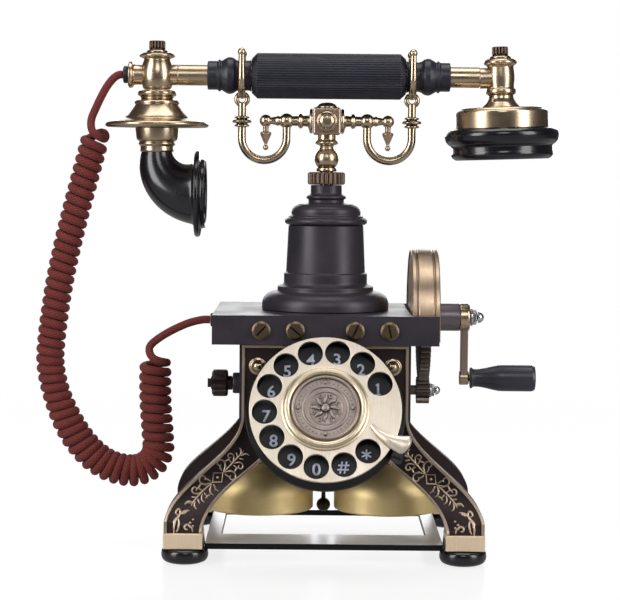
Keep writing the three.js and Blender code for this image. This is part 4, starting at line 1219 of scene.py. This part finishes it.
def make_badge():
    """A round bronze badge with a rope rim, a ring of beads and a rosette of leaves."""
    badge = turned(Shape(), [
        (0, 0.6), (19.6, 0.6), (19.6, 2.2), *arc((18.7, 2.2), 0.9, 0, 180, 8), (17.6, 1.4), (13.9, 1.4),
        *arc((13.2, 1.4), 0.7, 0, 180, 8), (12.3, 1.2), (10.6, 1.2), *arc((10.1, 1.2), 0.45, 0, 180, 6),
        (9.4, 1.1), (0, 1.3),
    ], AT_DIAL, sides=128, reach=0.15)
    beads, strands, leaves = 40, 72, 8
    for i in range(beads):
        size = 0.62 if i % 10 else 1.25
        x, y = polar(15.7, TAU * i / beads)
        bead(badge, size, AT_DIAL @ Matrix.Translation((x, y, 1.3)), 12)
    strand = [(18.1, -0.5, 2.7), (18.7, 0, 3.15), (19.3, 0.5, 2.7)]
    for i in range(strands):
        swept(badge, strand, 0.28, AT_DIAL @ Matrix.Rotation(TAU * i / strands, 4, "Z"), sides=6)
    leaf = [(2.4 + 6.2 * t, 0.5 * math.sin(TAU * t), 0.35 * math.sin(math.pi * t)) for t in between(0, 1, 12)]
    curl = [(*polar(1.3 * (1 - a / 9), a, (6.9, 2.7)), 0.1) for a in [0.35 * step for step in range(16)]]
    for i in range(leaves):
        at = AT_DIAL @ Matrix.Rotation(TAU * i / leaves, 4, "Z") @ Matrix.Translation((0, 0, 1.3))
        swept(badge, leaf, petal_width, at, sides=12)
        swept(badge, curl, 0.34, at, sides=8)
    turned(badge, [
        (0, 1), (2.7, 1), (2.7, 1.8), (2.2, 2.9), (1.2, 3.5), (0, 3.6),
    ], AT_DIAL, sides=40, reach=0.4)
    piece("dial_medal", badge, BADGE_BRONZE, "dial", ("dial_badge",), smooth_angle=50)


def petal_width(share):
    return 0.2 + 0.85 * math.sin(math.pi * min(1, share + 0.03)) ** 0.8


def make_finger_stop():
    """A domed fishtail over the wheel, and the black lug behind its end that holds it to the bowl."""
    at = AT_DIAL @ Matrix.Rotation(math.radians(-22), 4, "Z")
    upper = bezier((28.9, 1.8), (35, -1.6), (42.4, -1.2), (51, 2.8), 24)
    upper += bezier((51.4, 2.9), (53.2, 2.4), (53.8, 0), (53.6, -2.4), 8)
    lower = bezier((28, -0.6), (34.2, -5.4), (40.6, -8), (49.4, -9.4), 24)
    lower += bezier((49.8, -9.4), (51.8, -8.8), (53.2, -5.6), (53.6, -2.9), 8)
    bottom, edge, dome = 0.9, 1.6, 2.4
    rings = []
    for a, b in zip(upper, lower):
        crown = dome * min(1.0, (b - a).length / 7)
        ring = []
        for share in (0, 0.06, 0.2, 0.4, 0.6, 0.8, 0.94, 1):
            spot = a.lerp(b, share)
            ring.append((spot.x, spot.y, edge + crown * math.sin(math.pi * share) ** 0.6))
        ring += [(b.x, b.y, bottom), (a.x, a.y, bottom)]
        rings.append(ring)
    fishtail = lofted(Shape(), rings, at)
    piece("stop_fishtail", fishtail, DIAL_BRASS, "base", ("finger_stop",), smooth_angle=40)
    lug = box(Shape(), (45.4, -12.6, -9), (52, -1.6, 1), at)
    piece("stop_lug", lug, BLACK_ENAMEL, "base", bevel=1.2)


# ---------------------------------------------------------------- gears, crank and side knob
def make_guard():
    """A drum-shaped cover over the top of the large gear: two side plates and a grooved band."""
    radius, foot = GUARD["radius"], GUARD["foot"]
    angles = between(0, math.pi, 64)
    arch = [(radius, foot), *[polar(radius, angle) for angle in angles], (-radius, foot)]
    profile = [
        (0, -1.8), (0, -0.5), (0.5, 0), (2.3, 0), (2.7, -0.4), (2.8, -1.1), (3.7, -1.1), (3.8, -0.4),
        (4.2, -0.1), (12.5, -0.1), (12.9, -0.4), (13, -1.1), (13.9, -1.1), (14, -0.4), (14.4, 0),
        (16.2, 0), (16.7, -0.5), (16.7, -1.8),
    ]
    rings = []
    for y, z in arch:
        outward = Vector((0, y, max(z, 0))).normalized()
        rings.append([Vector((GUARD["left"] + x, y, z)) + outward * depth for x, depth in profile])
    shape = lofted(Shape(), rings, AT_CRANK)
    inner, thickness = radius - 1.5, 2.2
    outline = [*[polar(inner, angle) for angle in angles], (-inner, foot), (inner, foot)]
    on_side = AT_CRANK @ Matrix.Rotation(math.pi / 2, 4, "Z") @ TO_FRONT
    for low in (GUARD["left"] + 0.6, GUARD["right"] - 2.8):
        plate(shape, outline, low, low + thickness, on_side, holes=[circle(4.6, 32)])
    piece("guard_drum", shape, BAND_BRASS, "base", ("gear_guard",), smooth_angle=28)


def acorn_nut(shape, x, size, at):
    """A washer, a six-sided nut and its dome, along X."""
    turned(shape, [(0, x), (size, x), (size, x + 1.1), (0, x + 1.1)], at @ ALONG_X, sides=48, reach=0.3)
    across, top = size * 0.86, x + size * 0.62
    turned(shape, [
        (0, x + 1.1), (size * 0.82, x + 1.1), (across, x + 1.5), (across, top), (0, x + size * 0.9),
    ], at @ ALONG_X, sides=6, reach=0.2)
    turned(shape, arc((0, x + size * 0.86), size * 0.66, 0, 90, 12), at @ ALONG_X, sides=40, reach=0)
    return shape


def make_crank():
    at = AT_CRANK @ ALONG_X
    turned_piece("crank_sleeve", [(4.4, 69.3), (8.5, 69.3), (8.5, 83.2), (4.4, 83.2), (4.4, 69.3)], at,
                 SLEEVE_METAL, "base", "dark_metal", ("crank_bearing",), sides=64)
    arm = turned(Shape(), [
        (4.4, 83.5), (8.5, 83.5), (8.6, 84.4), (8.6, 88.5), (8, 89.5), (4.4, 89.5), (4.4, 83.5),
    ], at, sides=64, mark=1)
    box(arm, (84.3, -3.9, -36), (88.7, 3.9, -7), AT_CRANK)
    turned(arm, [
        (0, 83.7), (4.3, 83.7), (4.4, 84.6), (4.4, 88.8), (3.8, 89.5), (2, 89.5), (2, 126), (0, 126),
    ], AT_GRIP @ ALONG_X, sides=48, mark=1)
    piece("crank_lever", arm, [ROSE_X, ANTIQUE_X], "crank", ("crank_arm",), bevel=0.35)
    nut = acorn_nut(Shape(), 90.3, 5.4, AT_CRANK)
    piece("crank_acorn", nut, CHROME, "crank", ("crank_nut",))
    turned_piece("crank_handle", [
        (2.4, 90.3), (6.5, 90.3), (6.6, 91.4), (5.7, 92.2), (5.5, 92.8), (5.6, 96), (6.2, 99.6),
        (7.4, 104.6), (8.1, 108.4), (8.2, 111.4), (8.2, 128.6), (7.4, 130.6), (0, 131), (0, 126.4),
        (2.4, 126.4), (2.4, 90.3),
    ], AT_GRIP @ ALONG_X, GRIP_SATIN, "crank_grip", "black_satin", ("crank_grip",), sides=72, reach=0.7)
    pinion_nut = acorn_nut(Shape(), 65.3, 4.4, AT_PINION)
    piece("pinion_acorn", pinion_nut, CHROME, "pinion", ("pinion_nut",))


def make_knob():
    at = AT_KNOB @ ALONG_X
    knob = turned(Shape(), [
        (0, -69.8), (7, -69.8), (8.4, -68.8), (8.4, -60.9), (7.4, -60), (0, -60),
    ], at, sides=144, flutes=(9, 1.9, -69.7, -60.1), reach=0.4)
    turned(knob, [(0, -70.6), (3.6, -70.6), (4.4, -69.8), (4.4, -57.2), (0, -57.2)], at, sides=48)
    turned(knob, [(0, -58), (2.5, -58), (2.5, -45), (0, -45)], at, sides=32)
    box(knob, (-72.6, -1.2, -2.7), (-70, 1.2, 2.7), AT_KNOB)
    piece("knob", knob, BROWN_METAL, "knob", ("side_knob",), smooth_angle=40)
    turned_piece("knob_bush", [
        (2.9, -56.9), (5.8, -56.9), (6.5, -56.2), (6.5, -51), (2.9, -51), (2.9, -56.9),
    ], at, DARK_METAL, "base", "dark_metal", sides=64)


# ---------------------------------------------------------------- cradle
def make_cradle():
    under_block = CROSS_HEIGHT - 8.2
    turned_piece("stem", [
        (0, 176), (4.2, 176), (4.2, 231.6), (6.1, 231.6), (6.3, 232.4), (6.1, 233.6), (5, 234.4),
        *arc((0, 239.4), 7.4, -46, 52, 18), (4.4, 245.8), (4, 246.6), (4.2, 247.4), (6.6, 248.4),
        (7.2, 249.2), (6.6, 250.4), (5.6, 251.2), (5.6, under_block), (0, under_block),
    ], Matrix(), ANTIQUE_Z, "cradle", "antique_brass", ("cradle_stem",), sides=80, reach=0.3)
    half = 8.4
    block = box(Shape(), (-half, -half, -half), (half, half, half), AT_CRADLE)
    piece("cross_block", block, ROSE_Z, "cradle", ("cradle_block",), bevel=1.3)
    buttons = Shape()
    for turn in (Matrix(), HALF_TURN):
        turned(buttons, [
            (0, 7), (6.4, 7), (6.4, 9), (5.9, 9.5), (5.2, 9.6), (4.6, 10.4), (4.2, 11.4), (2.6, 12.1),
            (0, 12.3),
        ], AT_CRADLE @ turn @ TO_FRONT, sides=64, reach=0.4)
    turned(buttons, [
        (0, 7), (6.6, 7), (6.6, 8.8), (5.4, 10.4), (3, 11.4), (0, 11.8),
    ], AT_CRADLE, sides=64, reach=0.8)
    piece("block_buttons", buttons, ANTIQUE_Y, "cradle")
    for side, turn in BOTH_SIDES:
        make_cradle_arm(side, turn)
        make_pendant(side, turn)
        make_yoke(side, turn)


def make_cradle_arm(side, turn):
    """A turned arm with a hook that carries the fork's socket and ends in an eye."""
    arm = turned(Shape(), [
        (0, 8.7), (7.4, 8.7), (7.7, 9.6), (7.3, 10.6), (5.2, 11.1), (3.5, 11.7), (3.2, 14.4), (4.3, 15.2),
        (4.7, 16.2), (4.2, 17.2), (3.1, 17.8), (3, 20.4), *arc((0, CRADLE["ball"]), 4.7, -52, 52, 16),
        (2.7, 29.2), (3.2, 30.3), (2.6, 31.3), (2.2, 33.6), *arc((0, CRADLE["pendant"]), 3.85, -58, 90, 16),
    ], turn @ AT_CRADLE @ ALONG_X, sides=64, reach=0.3)
    swept(arm, evenly(hook_path(), 0.9), 2.5, turn, sides=28)
    turned(arm, [
        (0, -3.4), (3.4, -3.4), (4.6, -3), (4.7, -2.2), (3.4, -1.6), (3.4, -1.1), (5.6, -0.8), (6.2, 0),
        (5.6, 0.9), (3.4, 1.2), (3.4, 1.7), (4.6, 2), (4.7, 2.8), (3.4, 3.3), (0, 3.4),
    ], turn @ Matrix.Translation((CRADLE["fork"], 0, CRADLE["collar"])), sides=56, reach=0.3)
    eye = arc((3.35, 0), 1.55, 0, 360, 16)
    eye[-1] = eye[0]
    eye_at = Matrix.Translation((CRADLE["fork"], 0, CRADLE["eye"])) @ TO_FRONT
    turned(arm, eye, turn @ eye_at, sides=40, reach=0)
    piece(f"hook_{side}", arm, ANTIQUE_Z, "cradle", (f"cradle_arm_{side}",))


def make_pendant(side, turn):
    """A drop that hangs from the end of a cradle arm."""
    at = turn @ Matrix.Translation((CRADLE["pendant"], 0, CROSS_HEIGHT - 3.4))
    turned_piece(f"pendant_{side}", [
        *arc((0, -13), 1.7, -90, 55, 12), (0.9, -10.8), (3.2, -5.4), (3.6, -4.2), (3.2, -3.6), (1.6, -3),
        (1.9, 0), (0, 0),
    ], at, ROSE_Z, "cradle", "antique_brass", sides=40, reach=0.25)


def hook_path():
    """Down from the inner ball, round a half circle and up to the eye."""
    ball, fork, z = CRADLE["ball"], CRADLE["fork"], CROSS_HEIGHT
    radius, bend = (fork - ball) / 2, z - 10.5
    path = [(ball, 0, z - 2), (ball, 0, z - 6), (ball, 0, bend + 1)]
    for angle in between(0, math.pi, 16):
        path.append((ball + radius - radius * math.cos(angle), 0, bend - radius * math.sin(angle)))
    path += [(fork, 0, z - 5), (fork, 0, z + 4), (fork, 0, CRADLE["eye"] - 2.6)]
    return catmull(path, 6)


def make_yoke(side, turn):
    """The open fork that holds the handset's neck: a U with a ball on each tip."""
    radius, centre, tip, x = 11.8, HANDSET_CENTRE.z, CRADLE["tip"], CRADLE["fork"]
    path = [(x, -radius, tip), (x, -radius, tip - 4), (x, -radius, centre + 2)]
    for angle in between(0, math.pi, 16):
        path.append((x, -radius * math.cos(angle), centre - radius * math.sin(angle)))
    path += [(x, radius, centre + 2), (x, radius, tip - 4), (x, radius, tip)]
    line = evenly(catmull(path, 6), 0.9)
    yoke = swept(Shape(), line, yoke_width, turn, sides=24, up=Vector((1, 0, 0)))
    ball = arc((0, tip + 0.4), 2.5, -90, 90, 16)
    for y in (-radius, radius):
        turned(yoke, ball, turn @ Matrix.Translation((x, y, 0)), sides=32, reach=0)
    piece(f"fork_{side}", yoke, ANTIQUE_Z, "cradle", (f"cradle_yoke_{side}",))


def yoke_width(share):
    """The fork's rod is thickest at the bottom of the U."""
    return 1.9 + 0.5 * math.sin(math.pi * share)


# ---------------------------------------------------------------- handset
def make_grip():
    half, radius = 47.4, 13.95
    turned_piece("ribbed_grip", [
        (6.7, -half), (10.6, -half), (11.6, -46.4), (radius, -43.9), (radius, 43.9), (11.6, 46.4),
        (10.6, half), (6.7, half), (6.7, -half),
    ], AT_HANDSET @ ALONG_X, BLACK_SATIN, "handset", "black_satin", ("handset_grip",), smooth_angle=60,
        sides=56 * 8, flutes=(56, 0.42, -44.6, 44.6), reach=0.3)
    for side, turn in BOTH_SIDES:
        turned_piece(f"neck_{side}", [
            (6.7, 47.7), (9.8, 47.7), (9.2, 48.8), (9, 55.4), (9.6, 57), (10.8, 58.6), (11.3, 60.6),
            (11.2, 62), (10.2, 64), (9, 65.8), (9.2, 66.4), (9.8, 66.8), (9.8, 67.6), (9, 68.2),
            (8.8, 68.8), (8.8, 74.1), (8.4, 74.5), (6.7, 74.5), (6.7, 47.7),
        ], AT_HANDSET @ turn @ ALONG_X, BLACK_SATIN, "handset", "black_satin", (f"handset_collar_{side}",),
            sides=80, reach=0.5)
    turned_piece("head_tube", [(0, -92.6), (6.3, -92.6), (6.3, 92.6), (0, 92.6)], AT_HANDSET @ ALONG_X,
                 ANTIQUE_X, "handset", "antique_brass", ("handset_tube",), sides=80)


def finial(shape, height, at):
    """A stepped washer and a knurled thumb nut on top of a head."""
    up = at @ Matrix.Translation((0, 0, height))
    turned(shape, [
        (0, 0), (6.4, 0), (6.7, 0.8), (6.2, 1.5), (4.6, 2.1), (5.4, 2.6), (0, 2.8),
    ], up, sides=64, reach=0.3)
    turned(shape, [
        (0, 2.6), (4.4, 2.6), (5, 3), (5, 6.9), (4.4, 7.4), (2.4, 7.5), (2.1, 7), (0, 7),
    ], up, sides=14 * 12, mark=1, reach=0.2, flutes=(14, 1.1, 2.7, 7.3))


def make_mouth_head():
    barrel = turned(Shape(), [
        (0, -9), (8, -9), (8.9, -7.6), (9.9, -4.4), (10.35, -1), (10.2, 2.4), (9.5, 5.8), (8.4, 8.6),
        (8.1, 9.6), (8.6, 10.1), (10.6, 10.9), (11.2, 11.6), (10.8, 12.4), (9, 13.4), (7, 13.7),
        (0, 13.7),
    ], AT_MOUTH, reach=0.5)
    finial(barrel, 13.4, AT_MOUTH)
    piece("mouth_barrel", barrel, [ANTIQUE_Z, NUT_BRONZE], "handset",
          ("transmitter_barrel",))
    stubs = turned(Shape(), [
        (0, -17.8), (7, -17.8), (8, -17.2), (8.1, -16), (7.7, -15.1), (6.5, -14.4), (6.1, -13.4), (6, -6),
        (0, -6),
    ], AT_MOUTH @ ALONG_X, sides=72, reach=0.3)
    turned(stubs, [(0, 5), (6.3, 5), (6.3, 12.9), (0, 12.9)], AT_MOUTH @ ALONG_X, sides=72)
    piece("mouth_stubs", stubs, ANTIQUE_X, "handset")
    turned_piece("lead_grommet", [
        (0, -20.9), (4.3, -20.9), (5.2, -20.4), (5.3, -18.8), (4.9, -18.1), (0, -18.1),
    ], AT_MOUTH @ ALONG_X, BLACK_SATIN, "handset", "black_satin", ("cord_grommet",), sides=56)
    turned_piece("mouth_flange", [
        (0, -9.3), (10, -9.3), (11.6, -9.9), (12.1, -11.2), (11.6, -12.6), (10.2, -13.4), (10, -14.6),
        (11, -15.3), (13, -15.6), (13.9, -16.4), (13.9, -17.4), (13.4, -18), (14.4, -19.6), (16.6, -22.6),
        (18.8, -24.9), (19.6, -25.4), (20, -26.4), (22.4, -27), (28.6, -28.2), (31.2, -28.9), (32, -30),
        (31.6, -31.4), (30.4, -32.1), (20, -32.2), (11, -32.2), (11, -20), (0, -20),
    ], AT_MOUTH, ANTIQUE_Z, "handset", "antique_brass", ("transmitter_flange",), sides=128, reach=0.5)
    turned_piece("elbow_collar", [
        (7.8, -47.2), (10, -47.2), (10.4, -46.4), (10.2, -43.6), (10.8, -43.1), (11.3, -42.6), (11.3, -41.6),
        (10.9, -41), (11.2, -40.4), (12.2, -40), (12.8, -38), (13.2, -34.4), (13.4, -32.4), (7.8, -32.4),
        (7.8, -47.2),
    ], AT_MOUTH, ANTIQUE_Z, "handset", "antique_brass", ("horn_collar",), reach=0.35)
    make_horn()


def make_horn():
    """An elbow that widens round a quarter turn to a flanged mouth facing the column."""
    pivot_x, pivot_z, wall, rim, sides = 21.2, 243 - HANDSET_CENTRE.z, 1.8, 26.7, 72
    shares = between(0, 1, 24)

    def ring(x, z, across, radius):
        corners = [polar(radius, TAU * i / sides) for i in range(sides)]
        return [(x + along * across[0], y, z + along * across[1]) for along, y in corners]

    def elbow(share, thinner):
        inner, outer = 11.6 - 4.7 * share, 30.8 + 13.7 * share
        across = polar(-1, math.pi / 2 * share)
        reach, radius = (inner + outer) / 2, (outer - inner) / 2 - thinner
        return ring(pivot_x + reach * across[0], pivot_z + reach * across[1], across, radius)

    lip = rounded([
        (0, 18.8), (1.2, 19.3), (2, 20.6), (2.4, rim - 0.6), (3.2, rim), (4.8, rim), (5.6, rim - 0.8),
        (6.1, 22), (7, 21.4), (8.4, 21.2), (8.9, 20.6), (8.4, 19.2), (3, 17.6), (0, 17),
    ], 0.8)[1:-1]
    rings = [elbow(share, 0) for share in shares]
    rings += [ring(pivot_x + x, pivot_z - 25.7, (0, -1), radius) for x, radius in lip]
    rings += [elbow(share, wall) for share in reversed(shares)]
    horn = lofted(Shape(), rings, AT_MOUTH, closed=True)
    piece("mouth_elbow", horn, BLACK_GLOSS, "handset", ("mouth_horn",), smooth_angle=50)


def make_ear_head():
    post = turned(Shape(), [
        (0, -18), (12.4, -18), (11.2, -17), (9.2, -15), (7.9, -12.6), (7.5, -10.8), (8.2, -10.2),
        (9.1, -9.6), (9.3, -8.4), (9.1, -7), (8.2, -6.2), (8.1, -5), (8.6, -1), (8.6, 2), (8.1, 6.6),
        (8.6, 7.6), (9.8, 8.2), (10.4, 9.2), (10, 10.4), (8.6, 11.4), (7, 11.9), (0, 11.9),
    ], AT_EAR, reach=0.5)
    finial(post, 11.6, AT_EAR)
    piece("ear_post", post, [ANTIQUE_Z, NUT_BRONZE], "handset", ("receiver_post",))
    turned_piece("ear_stub", [(0, -12.9), (6.3, -12.9), (6.3, -5), (0, -5)], AT_EAR @ ALONG_X, ANTIQUE_X,
                 "handset", "antique_brass", sides=72)
    turned_piece("ear_shell", [
        (5, -18.3), (24.6, -18.3), (25.8, -18.7), (26.6, -19.6), (27.8, -19.9), (28.6, -20.6), (28.8, -22),
        (28.8, -31), (26.8, -31), (26.8, -21.8), (24.8, -20.3), (5, -20.3), (5, -18.3),
    ], AT_EAR, ANTIQUE_Z, "handset", "antique_brass", ("receiver_cup",), sides=128, reach=0.5)
    turned_piece("ear_piece", [
        (26, -31.3), (31.4, -31.3), *arc((31.6, -35), 3.7, 80, -20, 10), (34.6, -38.4), (33, -40.4),
        (31.2, -41.6), (31, -42.6), *arc((28, -46.4), 3.4, 24, -58, 8), (28.4, -50.2), (18, -49.2),
        (4, -47.8), (4, -45.8), (24, -45.8), (26, -44), (26, -31.3),
    ], AT_EAR, BLACK_GLOSS, "handset", "black_gloss", ("ear_cap",), sides=128, reach=0.7)


def make_gland():
    at = Matrix.Translation((0, 0, BASE_LEAD[0][1])) @ ALONG_X
    turned_piece("lead_gland", [(0, -71.1), (3.6, -71.1), (4.2, -70.6), (4.2, -67.8), (0, -67.8)], at,
                 DARK_METAL, "base", "dark_metal", ("cord_gland",), sides=48)


# ---------------------------------------------------------------- studio
def make_floor():
    """A white floor that fades into the background before its edge."""
    shape = plate(Shape(), circle(FLOOR_REACH / MM, 96), -1, -0.2)
    mesh = bpy.data.meshes.new("floor")
    mesh.from_pydata([point * MM for point in shape.points], [], shape.faces)
    mesh.materials.append(FLOOR_WHITE)
    floor = bpy.data.objects.new("floor", mesh)
    bpy.context.scene.collection.objects.link(floor)


def softbox(name, place, width, height, power):
    """A rectangular light aimed at the middle of the telephone."""
    data = bpy.data.lights.new(name, "AREA")
    data.shape = "RECTANGLE"
    data.size = width
    data.size_y = height
    data.energy = power
    light = bpy.data.objects.new(name, data)
    bpy.context.scene.collection.objects.link(light)
    light.location = place
    light.rotation_euler = (LIGHT_AIM - Vector(place)).to_track_quat("-Z", "Y").to_euler()


def make_studio():
    make_floor()
    softbox("softbox_left", (-1.0, -0.72, 0.55), 0.55, 1.1, 11)
    softbox("softbox_right", (1.0, -0.72, 0.55), 0.55, 1.1, 9)
    softbox("softbox_front", (0.05, -1.35, 0.95), 0.5, 0.5, 3.2)
    softbox("softbox_top", (0, 0.1, 1.5), 1.2, 0.9, 9.5)
    softbox("softbox_back", (0, 1.7, 0.52), 1.5, 0.6, 8.5)
    make_world()
    bpy.context.scene.view_settings.view_transform = "Standard"


def make_world():
    """White behind everything that the camera sees, and dim as a light."""
    world = bpy.data.worlds.new("studio")
    world.use_nodes = True
    tree = world.node_tree
    background = tree.nodes["Background"]
    background.inputs["Color"].default_value = (1, 1, 1, 1)
    seen = tree.nodes.new("ShaderNodeLightPath").outputs["Is Camera Ray"]
    strength = tree.nodes.new("ShaderNodeMapRange")
    strength.inputs["To Min"].default_value = 0.06
    strength.inputs["To Max"].default_value = 1.0
    tree.links.new(seen, strength.inputs["Value"])
    tree.links.new(strength.outputs["Result"], background.inputs["Strength"])
    bpy.context.scene.world = world


make_feet()
make_base_frame()
dress_cad_pieces()
make_brackets()
make_screws()
make_column()
make_bells()
make_hammer()
make_dial()
make_guard()
make_crank()
make_knob()
make_cradle()
make_grip()
make_mouth_head()
make_ear_head()
make_gland()
make_studio()
